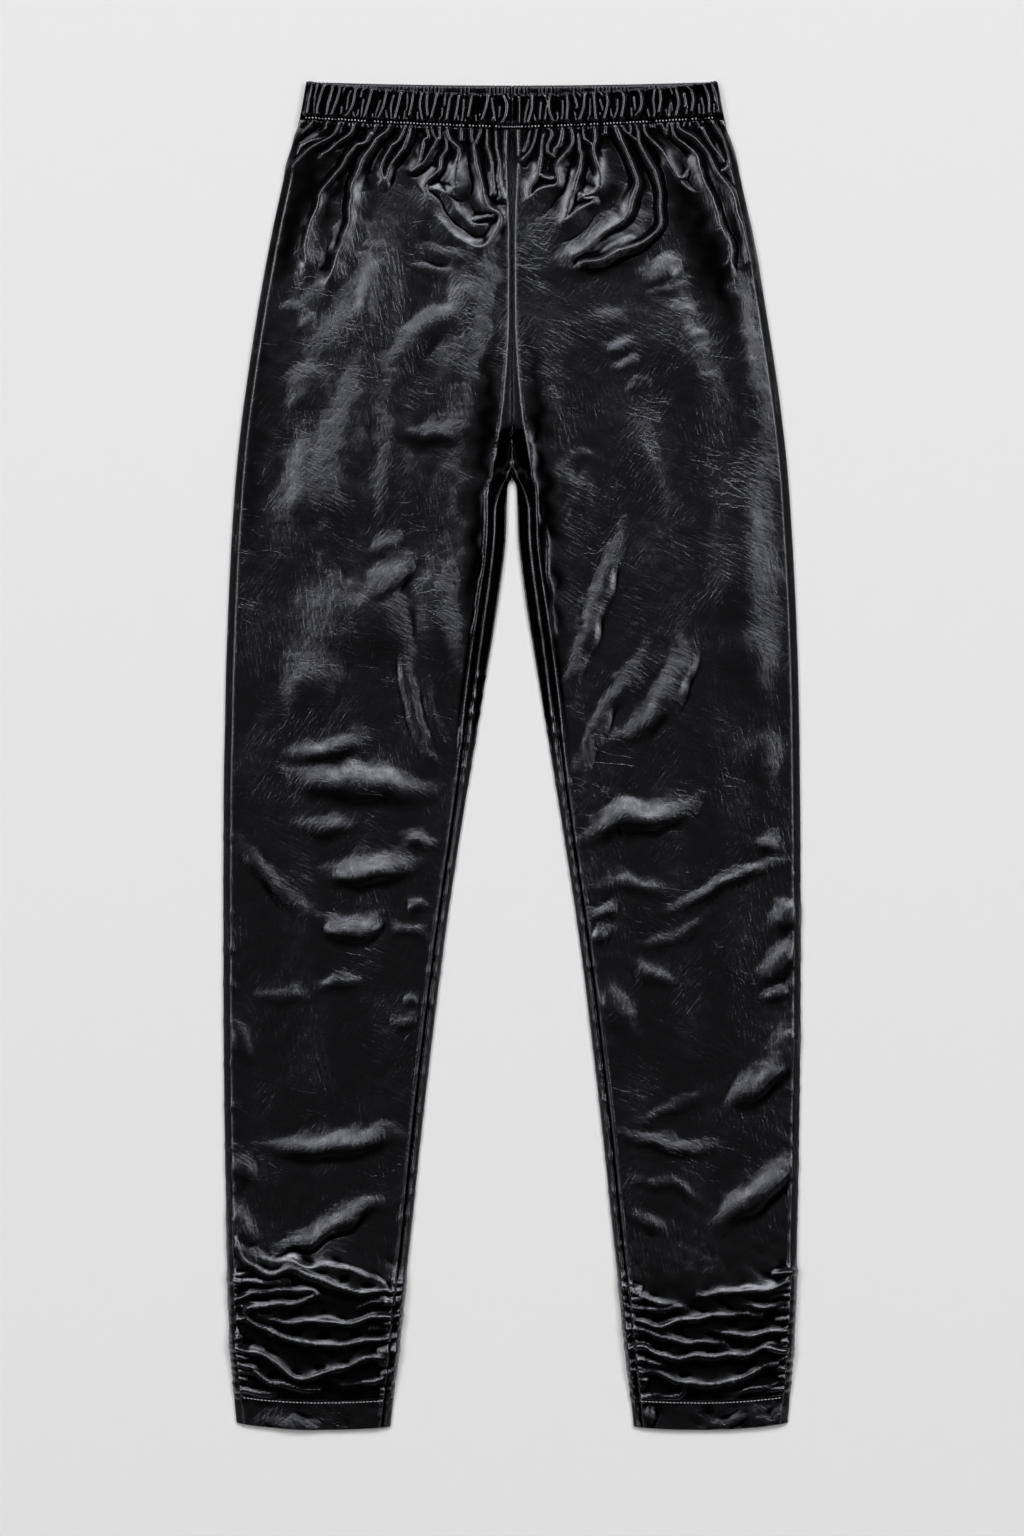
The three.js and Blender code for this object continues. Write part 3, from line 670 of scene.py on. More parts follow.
# %% Broad folds of the left hip and thigh
THIGH_LEFT = [
    (((40, 356), (58, 361), (78, 371), (92, 382)), (10, 9, 6), 0.7, 1),
    (((36, 352), (48, 351), (60, 353), (74, 358), (90, 364), (104, 372)), (8, 5, 4), 1, 0.5),
    # ladder of short creases on the outside of the hip
    (((91, 340), (101, 345), (110, 351), (120, 356)), (6, 10, 8), 0.9, 0.5),
    (((96, 331), (110, 334), (128, 339)), (2.5, 3.4, 3), 1, 0.6),
    (((113, 317), (122, 319), (132, 321)), (3, 4, 4), 0.9, 0.8),
    (((122, 300), (130, 301), (138, 302)), (2.5, 3, 2.5), 0.8, 0.7),
    (((122, 289), (132, 290), (142, 290)), (2.5, 3, 2.5), 0.8, 0.7),
    (((128, 269), (138, 270), (149, 270)), (2, 2.5, 2), 0.7, 0.7),
    (((112, 338), (122, 322), (131, 304), (140, 280), (148, 256), (155, 232)),
      (10, 14, 12), 0.35, 1.8),
    (((66, 289), (75, 293), (86, 299)), (4, 5, 3), 0.85, 0.6),
    (((68, 276), (80, 279), (94, 283)), (2.5, 3.4, 2.5), 0.95, 0.6),
    (((80, 262), (90, 264), (99, 265)), (2, 2.6, 2), 0.7, 0.6),
    (((50, 310), (66, 314), (84, 318)), (8, 9, 7), 0.2, 1.2),
    (((94, 252), (96, 236), (99, 220), (104, 204), (109, 188), (114, 172)), (8, 9, 7), 0.2, 1.6),
    # the long lane beside the side seam
    (((147, 384), (153, 364), (160, 346), (165, 328), (169, 308), (173, 288), (177, 266),
      (181, 244), (184, 218)), (7, 12, 8), 0.65, 1.8),
    (((184, 216), (180, 196), (177, 176), (177, 156), (179, 132), (180, 108), (180, 78)),
      (9, 16, 16), 0.65, 1.7),
    (((181, 96), (183, 70), (180, 42)), (14, 14, 8), 0.5, 1.6),
    (((186, 20), (186, 0), (184, -22)), (8, 12, 8), 0.4, 1.6),
    # curl beside the crotch
    (((34, 180), (31, 195), (29, 210)), (8, 9, 7), 0.3, 1),
    (((44, 172), (47, 188), (52, 204)), (6, 8, 5), 0.3, 0.8),
    (((36, 206), (44, 215), (52, 217), (61, 211)), (4, 4, 4), 0.35, 0.8),
    # the two long spear-shaped folds
    (((35, 46), (42, 60), (48, 80), (54, 101), (60, 120), (66, 135), (73, 151), (79, 167)),
      (4, 8, 4), 1, 0.7),
    (((43, -11), (48, 0), (53, 15), (60, 28), (68, 40), (80, 54), (96, 80)), (4, 6, 10), 0.7, 0.7),
    (((46, -10), (55, 3), (62, 18), (70, 36)), (3, 4, 3), 0.7, 0.6),
    (((64, 10), (85, 22), (98, 34), (108, 50), (117, 68), (121, 86)), (6, 11, 9), 1, 0.6),
]

# %% Broad folds of the right knee and calf
KNEE_RIGHT = [
    (((-162, 0), (-145, 4), (-125, 9), (-104, 14)), (4, 7, 5), 0.9, 0.6),
    (((-164, -8), (-148, -12), (-128, -12), (-108, -12), (-88, -14), (-70, -21), (-50, -23)),
      (5, 13, 5), 0.85, 0.8),
    (((-156, -47), (-132, -47), (-108, -47)), (4, 7, 4), 0.6, 0.8),
    (((-134, -82), (-114, -79), (-94, -75), (-68, -73)), (6, 13, 9), 0.9, 0.5),
    (((-198, -56), (-186, -67), (-171, -83), (-158, -97), (-145, -108), (-130, -117)),
      (5, 8, 7), 0.35, 0.5),
    (((-134, -117), (-118, -120), (-105, -119), (-94, -112)), (6, 10, 8), 0.9, 0.5),
    (((-184, -170), (-160, -168), (-138, -168)), (4, 6, 4), 0.4, 0.8),
    (((-142, -162), (-122, -159), (-102, -157)), (4, 5, 3), 0.7, 0.6),
    (((-82, -55), (-66, -58), (-50, -61)), (4, 6, 4), 0.6, 0.6),
    (((-74, -103), (-66, -104), (-58, -104)), (4, 5, 4), 0.6, 0.6),
    (((-88, -119), (-72, -123), (-58, -129)), (4, 5, 4), 0.5, 0.6),
    (((-86, -186), (-78, -187), (-68, -184)), (4, 6, 4), 0.4, 0.6),
    (((-77, -170), (-66, -174)), (4, 4, 3), 0.6, 0.6),
    (((-184, -277), (-160, -276), (-140, -274), (-120, -272), (-105, -269), (-90, -266),
      (-76, -267)), (3, 10, 6), 1, 0.7),
    (((-170, -350), (-150, -342), (-135, -334), (-120, -326), (-105, -318), (-86, -314)),
      (5, 9, 6), 0.95, 0.5),
    (((-196, -182), (-189, -198), (-184, -218)), (4, 7, 5), 0.3, 0.8),
    (((-197, -278), (-187, -291), (-178, -304)), (5, 10, 6), 0.4, 0.8),
    (((-197, -314), (-188, -330), (-178, -346)), (5, 10, 6), 0.4, 0.8),
    (((-165, 70), (-140, 66), (-116, 62)), (12, 18, 10), 0.2, 1.4),
    # the hem
    (((-174, -470), (-152, -473), (-130, -474)), (4, 7, 4), 0.6, 0.6),
]

# %% Broad folds of the left knee and calf
KNEE_LEFT = [
    (((47, -63), (55, -56), (62, -48), (71, -40), (86, -37), (102, -38), (118, -35), (134, -27)),
      (4, 12, 5), 1, 0.6),
    (((172, -58), (182, -60), (192, -63)), (4, 6, 4), 0.7, 0.6),
    (((104, -110), (118, -106), (130, -100), (141, -92), (152, -86), (166, -81), (182, -77),
      (199, -74)), (4, 5, 4), 1, 0.5),
    (((54, -94), (70, -88), (86, -88), (102, -92), (120, -94)), (4, 6, 4), 0.4, 0.8),
    (((54, -112), (64, -109), (74, -105)), (4, 5, 4), 0.9, 0.6),
    (((60, -119), (72, -127)), (6, 8, 5), 0.4, 0.6),
    (((84, -136), (106, -131), (126, -122), (140, -112)), (3, 5, 4), 0.4, 0.6),
    (((68, -156), (78, -175), (90, -196)), (5, 10, 6), 0.35, 0.8),
    (((84, -144), (100, -152), (120, -161)), (4, 7, 4), 0.4, 0.8),
    (((183, -122), (189, -113), (198, -100)), (8, 11, 8), 0.5, 0.6),
    (((172, -157), (184, -146), (198, -128)), (8, 11, 8), 0.6, 0.6),
    (((176, -170), (186, -167), (198, -162)), (4, 6, 4), 0.8, 0.6),
    (((178, -214), (188, -202), (200, -184)), (8, 10, 6), 0.4, 0.8),
    (((148, -252), (158, -241), (170, -230), (182, -221), (198, -209)), (6, 11, 6), 0.7, 0.6),
    (((76, -265), (95, -257), (115, -247), (142, -235)), (3, 5, 8), 0.4, 0.8),
    (((73, -266), (90, -270), (106, -274), (122, -277), (150, -280)), (3, 6, 4), 0.8, 0.5),
    (((143, -332), (150, -325), (160, -315), (170, -308), (180, -300), (190, -291), (201, -282)),
      (9, 12, 8), 1, 0.5),
    (((80, -300), (100, -302), (120, -305), (140, -320)), (3, 5, 4), 0.4, 0.6),
    (((84, -318), (98, -330), (112, -336)), (4, 6, 4), 0.3, 0.8),
    # the hem
    (((96, -478), (96, -470), (97, -460)), (3, 4, 3), 0.6, 0.8),
    (((136, -476), (150, -473), (166, -468)), (3, 5, 4), 0.5, 0.6),
    (((174, -474), (183, -467), (191, -461)), (4, 6, 4), 0.5, 0.6),
]
FOLD_LIFT = ((THIGH_RIGHT, 0.7), (THIGH_LEFT, 0.75), (KNEE_RIGHT, 1.2), (KNEE_LEFT, 1.25))
SWELL_COLUMNS = ("path", "widths", "shine", "back")
SWELLS = [dict(zip(SWELL_COLUMNS, row), lift=lift) for table, lift in FOLD_LIFT for row in table]
print(len(SWELLS), "broad folds")

# %% Painted shade in hollows, and dull places
PAINTED_SHADE_PLACES = [  # hollows where shade is painted: the cloth is made black there
    (((-152, 440), (-140, 420), (-150, 395), (-160, 360), (-166, 330)), (18, 24, 10), 0.9),
    (((-118, 415), (-128, 394), (-138, 366)), (8, 10, 6), 0.8),
    (((-104, 424), (-103, 400)), (8, 9, 8), 0.8),
    (((-76, 440), (-77, 425), (-76, 408)), (8, 10, 8), 0.8),
    (((-35, 440), (-33, 420), (-30, 400), (-24, 388)), (8, 14, 8), 0.8),
    (((-50, 384), (-38, 374), (-22, 370)), (4, 8, 6), 0.6),
    (((110, 442), (116, 420), (126, 394), (137, 365), (148, 335), (158, 300)), (14, 26, 14), 0.95),
    (((150, 405), (160, 380), (166, 350)), (8, 8, 6), 0.8),
    (((68, 440), (70, 420), (68, 400), (58, 385)), (10, 16, 10), 0.8),
    (((96, 420), (96, 400)), (8, 8, 8), 0.7),
    (((32, 440), (38, 418), (36, 400), (28, 385)), (8, 10, 8), 0.8),
    (((44, 344), (66, 346), (88, 350)), (6, 9, 6), 0.6),
    # both sides of the centre seam and the inner legs
    (((-13, 300), (-16, 260), (-20, 210), (-24, 150), (-27, 110), (-30, 75)), (6, 14, 6), 1),
    (((14, 300), (17, 260), (20, 220), (24, 170), (29, 120), (32, 80), (36, 40)), (6, 12, 6), 1),
    (((-80, 224), (-60, 222), (-40, 224)), (5, 7, 5), 0.7),
    (((-176, 320), (-180, 270), (-184, 220), (-188, 150)), (8, 14, 10), 0.5),
]
HAZE = [  # wide dull places that lie flat
    (((-104, 350), (-118, 290), (-132, 230), (-143, 180)), (24, 36, 30), 0.22),
    (((-142, 130), (-138, 90), (-138, 40)), (30, 44, 34), 0.22),
    (((-30, 350), (-36, 280), (-42, 190), (-44, 90)), (14, 20, 16), 0.18),
    (((-150, 30), (-110, 10), (-80, -20)), (20, 40, 26), 0.12),
    (((100, 260), (108, 190), (116, 120), (122, 60)), (20, 34, 30), 0.16),
    (((176, 300), (180, 150), (178, 50)), (16, 24, 20), 0.2),
    (((60, 320), (90, 310), (120, 300)), (20, 34, 20), 0.14),
    (((110, -350), (130, -362), (150, -366)), (20, 26, 14), 0.3),
    (((-178, -472), (-160, -474), (-138, -472)), (8, 12, 6), 0.8),
    (((146, -472), (165, -469), (186, -462)), (8, 12, 8), 0.7),
    (((96, -472), (98, -466)), (7, 7, 6), 0.7),
]
PAINTED_SHADE_PLACES, HAZE = ([dict(zip(SWELL_COLUMNS, row)) for row in table] for table in (PAINTED_SHADE_PLACES, HAZE))
print(len(PAINTED_SHADE_PLACES), "dark hollows and", len(HAZE), "dull places")

# %% Cross folds of the ruched ankles
ANKLE_RIGHT = [  # path, near and far width, rise, and the share of it at the start and the end
    (((-197, -349), (-178, -367), (-152, -367), (-116, -381), (-88, -380),
      (-84, -373)), 6, 5, 3, 0.9, 0.9),
    (((-178, -358), (-150, -362), (-116, -366), (-92, -375)), 4, 6, 1.8, 0.6, 0.6),
    (((-198, -387), (-175, -383), (-152, -380), (-139, -383), (-148, -388),
      (-189, -394)), 4, 4, 2.2, 0.9, 0.9),
    (((-187, -394), (-187, -402), (-172, -410)), 4, 4, 2, 0.9, 0.8),
    (((-180, -399), (-150, -403), (-116, -403), (-80, -399)), 4.2, 4.6, 2.8, 0.5, 0.9),
    (((-172, -410), (-150, -418), (-118, -419), (-87, -414)), 4.2, 4.6, 2.6, 0.7, 0.9),
    (((-102, -409), (-88, -408)), 3, 3, 1.6, 0.6, 0.9),
    (((-198, -420), (-175, -428), (-153, -442), (-120, -436), (-99, -428),
      (-84, -424)), 4.6, 5, 2.8, 0.9, 0.9),
    (((-187, -434), (-169, -447), (-137, -452)), 4.2, 4.4, 2.4, 0.8, 0.5),
    (((-190, -452), (-163, -455)), 3, 3.4, 1.6, 0.6, 0.4),
    (((-120, -448), (-100, -446), (-88, -440)), 3.6, 3.6, 2, 0.4, 0.9),
    (((-197, -371), (-180, -376), (-160, -374)), 3.6, 3.8, 2, 0.9, 0.3),
    (((-110, -392), (-95, -390), (-82, -388)), 3.4, 3.6, 1.8, 0.4, 0.9),
]
ANKLE_LEFT = [
    (((132, -383), (160, -382), (190, -378), (199, -368)), 5, 5, 2.8, 0.5, 0.9),
    (((88, -402), (105, -406), (134, -400), (176, -397)), 4.2, 4.6, 2.6, 0.9, 0.6),
    (((86, -408), (118, -417), (151, -417)), 4.2, 4.6, 2.6, 0.9, 0.5),
    (((134, -408), (155, -411), (172, -413), (196, -408)), 4, 4.2, 2.2, 0.5, 0.9),
    (((87, -420), (108, -426), (134, -428), (164, -426), (192, -421)), 4.4, 4.8, 2.8, 0.9, 0.8),
    (((90, -440), (108, -441), (134, -449), (160, -443), (184, -434),
      (190, -428)), 4.6, 5, 2.8, 0.8, 0.8),
    (((92, -456), (119, -455), (122, -449)), 3.2, 3.4, 1.8, 0.9, 0.5),
    (((196, -392), (178, -391), (160, -392)), 3.6, 3.6, 1.8, 0.9, 0.3),
    (((86, -392), (104, -394), (122, -392)), 3.6, 3.8, 2, 0.9, 0.3),
    (((150, -454), (172, -452), (194, -446)), 3.4, 3.6, 1.8, 0.4, 0.9),
    (((84, -380), (100, -387), (118, -390)), 4, 4.4, 1.8, 0.9, 0.3),
    (((88, -430), (100, -433), (112, -434)), 3.4, 3.6, 1.8, 0.9, 0.3),
]
CROSS_COLUMNS = ("path", "near", "far", "rise", "start", "end")
CROSS_FOLDS = [dict(zip(CROSS_COLUMNS, row), tip=1.0) for row in ANKLE_RIGHT + ANKLE_LEFT]
print(len(CROSS_FOLDS), "cross folds at the ankles")

# %% [markdown]
# ## Small puckers along the seams
#
# An elastic or a long seam takes up more cloth on one side than on the other, and the rest
# stands up in short puckers square to the seam. They are too many for a table, so a loop places
# them at uneven steps, from a seeded list of random numbers, which gives the same set each time.

# %% Pucker rows
PUCKER_COLUMNS = ("side", "seam", "low", "high", "step", "long", "rise", "seed")
PUCKER_ROWS = [
    (-1, "side", -457, -366, 6.5, 13, 1.7, 11),
    (-1, "inseam", -457, -372, 6.0, 12, 1.6, 12),
    (1, "side", -457, -366, 6.5, 13, 1.7, 13),
    (1, "inseam", -457, -372, 6.0, 12, 1.6, 14),
    (-1, "inseam", -20, 60, 11, 10, 1.2, 15),
    (1, "inseam", -150, 40, 12, 9, 0.9, 16),
    (-1, "inseam", -330, -60, 21, 9, 0.8, 17),
    (1, "inseam", -350, -170, 18, 9, 0.8, 18),
    (-1, "side", -330, -40, 24, 10, 0.9, 19),
    (1, "side", -330, -60, 20, 10, 0.9, 20),
]


def pucker_strokes(row):
    """One row of puckers: cross folds that start at the seam and narrow away from it."""
    row = dict(zip(PUCKER_COLUMNS, row))
    random = np.random.default_rng(row["seed"])
    strokes, y = [], row["low"]
    while y < row["high"]:
        u0 = float(outer_edge(y)) if row["seam"] == "side" else float(inner_edge(y))
        inward = -1 if row["seam"] == "side" else 1
        long = row["long"] * random.uniform(0.6, 1.5)
        lean = random.uniform(-3, 3)
        path = ((row["side"] * u0, y), (row["side"] * (u0 + inward * long), y + lean))
        wide = random.uniform(1.6, 2.4)
        rise = row["rise"] * random.uniform(0.6, 1.2)
        strokes.append(dict(zip(CROSS_COLUMNS, (path, wide, wide, rise, 1.0, 0.1)), tip=0.7))
        y += row["step"] * random.uniform(0.7, 1.35)
    return strokes


PUCKERS = [stroke for row in PUCKER_ROWS for stroke in pucker_strokes(row)]
print(len(PUCKERS), "puckers along the seams")

# %% [markdown]
# ## The height of the upper side
#
# The upper side is one height field: the folds, the puckers and a little unevenness on a level
# that changes slowly along the leg, and sinks to the seams. Every front panel, lip and rolled
# edge reads its height from this one function, so the folds run across the seams as they do on
# the real leggings.

# %% Folds together
def fold_field(x, y):
    """All folds at the points (x, y). The small waves keep the strokes from looking ruled."""
    wx = x + 0.8 * waves(x, y, 26, 3)
    wy = y + 0.8 * waves(x, y, 26, 4)
    height = np.zeros(np.shape(x))
    for fold in GATHERS:
        pleat(height, wx, wy, fold)
    for fold in SWELLS:
        swell(height, wx, wy, fold)
    for fold in CROSS_FOLDS + PUCKERS:
        press(height, wx, wy, fold)
    ankle = 1 - smoothstep(y, -380, -330)
    uneven = 0.16 * waves(x, y, 60, 1) + (0.05 + 0.10 * ankle) * waves(x, y, 14, 2)
    return height + uneven


# %% [markdown]
# ## Where the cloth sinks
#
# A seam is the lowest line of the cloth near it, since the seam allowances pull both sides down.
# The centre seam is a groove, which widens into the fork of the legs. The casing is closed by a
# row of stitches that draws the cloth down and gathers it into tiny puckers, one at each stitch.

# %% Seams and stitches in the height
GROOVE = curve_through([  # y, half width of the groove along the centre seam
    (450, 3.6), (424, 4.2), (400, 3.0), (380, 2.4), (340, 2.3), (300, 2.8), (267, 4.9),
    (240, 7.8), (222, 10.8), (200, 14.0),
])
GROOVE_DEPTH = curve_through([  # y, depth of the groove
    (450, 5.0), (340, 4.0), (300, 4.2), (267, 5.2), (232, 6.0), (210, 6.0), (200, 3.0),
])
INNER_ROLL = curve_through([  # y, width of the back panel's roll round the inner edge
    (200, 8.6), (90, 8.2), (0, 4.6), (-65, 3.4), (-480, 3.0),
])
SIDE_SLOPE, INSEAM_SLOPE, INSEAM_DROP = 0.62, 0.75, 1.3
STITCH_DROP, STITCH_REACH = 2.1, 2.1  # how deep the stitches draw the cloth, and how far from them


def turned_down(past, slope, crest=0.35):
    """Drop of cloth that is flat before a crest line and runs straight down past it."""
    return slope * crest * np.logaddexp(0, past / crest)


def seam_sink(u, y, side_seam):
    """How far the cloth turns down beside its seams."""
    at_side = turned_down(np.minimum(u, side_seam) - side_seam + 0.9, SIDE_SLOPE)
    depth = GROOVE_DEPTH(y)
    above = smoothstep(y, FORK_Y - 8, CROTCH_Y - 10)
    slope = np.clip(1.1 * depth / GROOVE(y), 0.60, 0.72)
    centre = np.minimum(turned_down(GROOVE(y) - u, slope), depth)
    inseam = np.minimum(turned_down(inner_seam(y) + 1.0 - u, INSEAM_SLOPE), INSEAM_DROP)
    return at_side + above * centre + (1 - above) * inseam


def casing_stitch(x):
    """The row of stitches that closes the casing of the elastic."""
    return 447.3 + 6.5 * (np.abs(x) / 147) ** 1.4


def stitched_down(x, y):
    """Change of height round the stitches: a groove, and a small pucker at each stitch."""
    past = y - casing_stitch(x)
    beat = np.cos(2 * math.pi * (x / 2.5 + 0.5 * waves(x, 0 * x, 17, 31)))
    shirr = 0.38 * (0.6 + 0.5 * waves(x, 0 * x, 12, 32)) * smoothstep(np.abs(x), 7, 9)
    drawn = STITCH_DROP * np.clip(1 - np.abs(past) / STITCH_REACH, 0, 1)
    return shirr * beat * np.exp(-np.abs(past + 2.2) / 1.8) - drawn


print("stitches of the casing dip", round(float(casing_stitch(147) - casing_stitch(0)), 1), "mm")

# %% Upper side and its edges
LOWEST_UPPER = 2.6  # the upper side stays this far above the table, over the back panel
HEM_GROOVE = 0.4


def upper_height(x, y, row, side_seam):
    """Height of the upper side above the table. row is the level row that a point came from."""
    u = np.abs(x)
    near_crotch = smoothstep(y, 30, 150) * (1 - smoothstep(y, 250, 340))
    height = upper_side(row) + 2.3 * near_crotch * np.exp(-((u / 32) ** 2))
    height += fold_field(x, y) - seam_sink(u, y, side_seam)
    height += stitched_down(x, y)
    height -= HEM_GROOVE * np.exp(-(((row - CUFF_Y) / 1.3) ** 2))
    return LOWEST_UPPER + np.logaddexp(0, (height - LOWEST_UPPER) / 0.5) * 0.5


def edges(side, y):
    """Outer and inner edge of a leg, where folds push the edge out and puckers let it in."""
    out, inner = outer_edge(y), inner_edge(y)
    leg = 1 - smoothstep(y, FORK_Y - 45, FORK_Y - 5)
    out = out + np.clip(0.38 * fold_field(side * (out - 3.5), y), -1.2, 1.7)
    inner = inner - leg * np.clip(0.38 * fold_field(side * (inner + 3.5), y), -1.2, 1.7)
    return out, inner


for y in (420, 0, -420):
    across = np.linspace(60, 180, 200)
    height = upper_height(across, np.full(200, float(y)), np.full(200, float(y)), 200.0)
    print("at y", y, "the left side is", height.min().round(1), "to", height.max().round(1))

# %% [markdown]
# ## Wear and painted shade
#
# The coating changes with the form of the cloth. Where a broad fold was worked it is dull and
# finely crinkled, and it scatters the light. Deep among the gathers, at the ankles and in the
# fork of the seams, shade is painted in: the cloth is made black there and shows almost no
# reflection. Both are worked out here for each point and kept on the mesh as two attributes,
# "form" and "crinkled_and_painted_shade", for the material. Painting a texture would do it too,
# but it would need a picture file.

# %% Dull places and painted shade
CROTCH_PAINTED_SHADE, INNER_LEG_PAINTED_SHADE = 4.0, 1.7  # painted shade, above 1, so that not even the crests there shine
HOLLOW = (0.012, 0.09)  # bends per millimetre between which a hollow gets painted shade
CREST = (0.01, 0.12)  # and between which a crest is worn


def crinkled_and_painted_shade(x, y):
    """How dull and crinkled the coating is at the points (x, y), and how much shade is painted
    there.
    """
    wx = x + 2.0 * waves(x, y, 24, 13)
    wy = y + 2.0 * waves(x, y, 24, 14)
    wear_and_painted_shade, deep = np.zeros(np.shape(x)), np.zeros(np.shape(x))
    for fold in SWELLS + HAZE:
        glow(wear_and_painted_shade, wx, wy, fold)
    for fold in PAINTED_SHADE_PLACES:
        glow(deep, wx, wy, fold)
    wear_and_painted_shade = np.maximum(wear_and_painted_shade, 0.05 + 0.08 * waves(x, y, 45, 17))
    wear_and_painted_shade = np.clip(wear_and_painted_shade * (1 + 0.22 * waves(x, y, 9, 15) + 0.12 * waves(x, y, 4, 16)), 0, 1)
    # painted shade over the gathers under the waist, over the casing and over the ruched ankles
    band = 0.85 * smoothstep(y, 402, 440) + 0.75 * smoothstep(y, 446, 452)
    band = band + 0.5 * smoothstep(y, 468, 471)
    ankle = 0.75 * smoothstep(y, -466, -456) * (1 - smoothstep(y, -398, -352))
    # shade is painted into the pit at the fork of the seams, and onto the rolls of the inner legs
    # beside it
    in_groove = 1 - smoothstep(np.abs(x), GROOVE(y) - 1.5, GROOVE(y) + 1.0)
    crotch = in_groove * smoothstep(y, 165, 196) * (1 - smoothstep(y, 222, 236))
    inner_leg = 1 - smoothstep(np.abs(x) - inner_seam(y), 2.5, 7.0)
    inner_leg = inner_leg * smoothstep(y, -20, 60) * (1 - smoothstep(y, 180, 200))
    painted_shade = (deep, band, ankle, CROTCH_PAINTED_SHADE * crotch, INNER_LEG_PAINTED_SHADE * inner_leg)
    return wear_and_painted_shade, np.maximum.reduce(painted_shade)


def with_form(grid):
    """Adds to each point how the cloth bends there, -1 in a hollow, 0 where flat and 1 on a
    crest, and how dull it is, from 1 down to -1 where shade is painted in."""
    bend = np.zeros(grid.shape[:2])
    for axis in (0, 1):
        step = np.linalg.norm(np.diff(grid, axis=axis), axis=-1)
        pad = [(1, 0), (0, 0)] if axis == 0 else [(0, 0), (1, 0)]
        along_cloth = np.pad(np.cumsum(step, axis=axis), pad)
        pace = np.maximum(np.gradient(along_cloth, axis=axis), 1e-3)
        bend -= np.gradient(np.gradient(grid[..., 2], axis=axis) / pace, axis=axis) / pace
    rows, columns = bend.shape
    wide = np.pad(bend, 1, mode="edge")
    around = [wide[i : i + rows, j : j + columns] for i in range(3) for j in range(3)]
    bend = sum(around) / len(around)
    # below 0 in a hollow, where the material paints shade
    form = smoothstep(bend, *CREST) - smoothstep(-bend, *HOLLOW)
    dull, deep = crinkled_and_painted_shade(grid[..., 0], grid[..., 1])
    crest = np.maximum(form, 0)
    # wear, less the painted shade, which is weaker on crests; below 0 the material makes the cloth
    # black
    wear_and_painted_shade = np.maximum(dull, 0.4 * crest**2) - deep * (1 - 0.7 * crest)
    return np.concatenate([grid, form[..., None], wear_and_painted_shade[..., None]], axis=-1)


# %% [markdown]
# ## From points to cloth
#
# Cloth has two sides and a thickness, even when only one side shows. Each piece is a grid of
# points for its outer face and another for its inner face, joined round the rim, which gives a
# closed thin shell. The front panels are very fine on the face that shows and coarse on the
# hidden one, which saves half the triangles. The Solidify modifier would copy the fine face.
#
# All faces are smooth, but a valley between two folds is a sharp line, or its shading would
# smear over both. So the edges of valleys are marked sharp from a small angle on.

# %% Sharp valleys
VALLEY_ANGLE, RIDGE_ANGLE = 32, 75


def crease_valleys(mesh):
    """Marks sharp edges: in a valley from a small angle on, on a ridge only from a large one."""
    normals = np.empty(len(mesh.polygons) * 3)
    centres = np.empty(len(mesh.polygons) * 3)
    mesh.polygons.foreach_get("normal", normals)
    mesh.polygons.foreach_get("center", centres)
    normals, centres = normals.reshape(-1, 3), centres.reshape(-1, 3)
    sizes = np.empty(len(mesh.polygons), int)
    mesh.polygons.foreach_get("loop_total", sizes)
    used_edges = np.empty(len(mesh.loops), int)
    mesh.loops.foreach_get("edge_index", used_edges)
    owners = np.repeat(np.arange(len(sizes)), sizes)
    order = np.argsort(used_edges, kind="stable")
    used_edges, owners = used_edges[order], owners[order]
    first = np.nonzero(used_edges[:-1] == used_edges[1:])[0]
    a, b = owners[first], owners[first + 1]
    angle = np.degrees(np.arccos(np.clip((normals[a] * normals[b]).sum(axis=1), -1, 1)))
    hollow = ((centres[b] - centres[a]) * normals[a]).sum(axis=1) > 0
    sharp = np.zeros(len(mesh.edges), bool)
    sharp[used_edges[first]] = np.where(hollow, angle > VALLEY_ANGLE, angle > RIDGE_ANGLE)
    mesh.attributes.new("sharp_edge", "BOOLEAN", "EDGE").data.foreach_set("value", sharp)


# %% A mesh from points
def add_cloth(name, points, polygons, material):
    """A smooth mesh object from points in millimetres and lists of polygons."""
    mesh = bpy.data.meshes.new(name)
    sizes = np.concatenate([np.full(len(p), p.shape[1]) for p in polygons])
    loops = np.concatenate([p.ravel() for p in polygons])
    mesh.vertices.add(len(points))
    mesh.vertices.foreach_set("co", (np.asarray(points, float)[:, :3] * MM).ravel())
    for column, attribute in enumerate(("form", "crinkled_and_painted_shade")[: points.shape[1] - 3], 3):
        values = mesh.attributes.new(attribute, "FLOAT", "POINT").data
        values.foreach_set("value", points[:, column])
    mesh.loops.add(len(loops))
    mesh.loops.foreach_set("vertex_index", loops)
    mesh.polygons.add(len(sizes))
    mesh.polygons.foreach_set("loop_start", np.concatenate([[0], np.cumsum(sizes)[:-1]]))
    mesh.polygons.foreach_set("loop_total", sizes)
    mesh.update(calc_edges=True)
    mesh.validate()
    mesh.polygons.foreach_set("use_smooth", np.ones(len(sizes), bool))
    crease_valleys(mesh)
    mesh.materials.append(material)
    piece = bpy.data.objects.new(name, mesh)
    bpy.context.collection.objects.link(piece)
    return piece


# %% Closed shells
def cells(index, flip):
    """The four corners of every cell of a grid of point numbers."""
    quads = np.stack([index[:-1, :-1], index[:-1, 1:], index[1:, 1:], index[1:, :-1]], -1)
    quads = quads.reshape(-1, 4)
    return quads[:, ::-1] if flip else quads


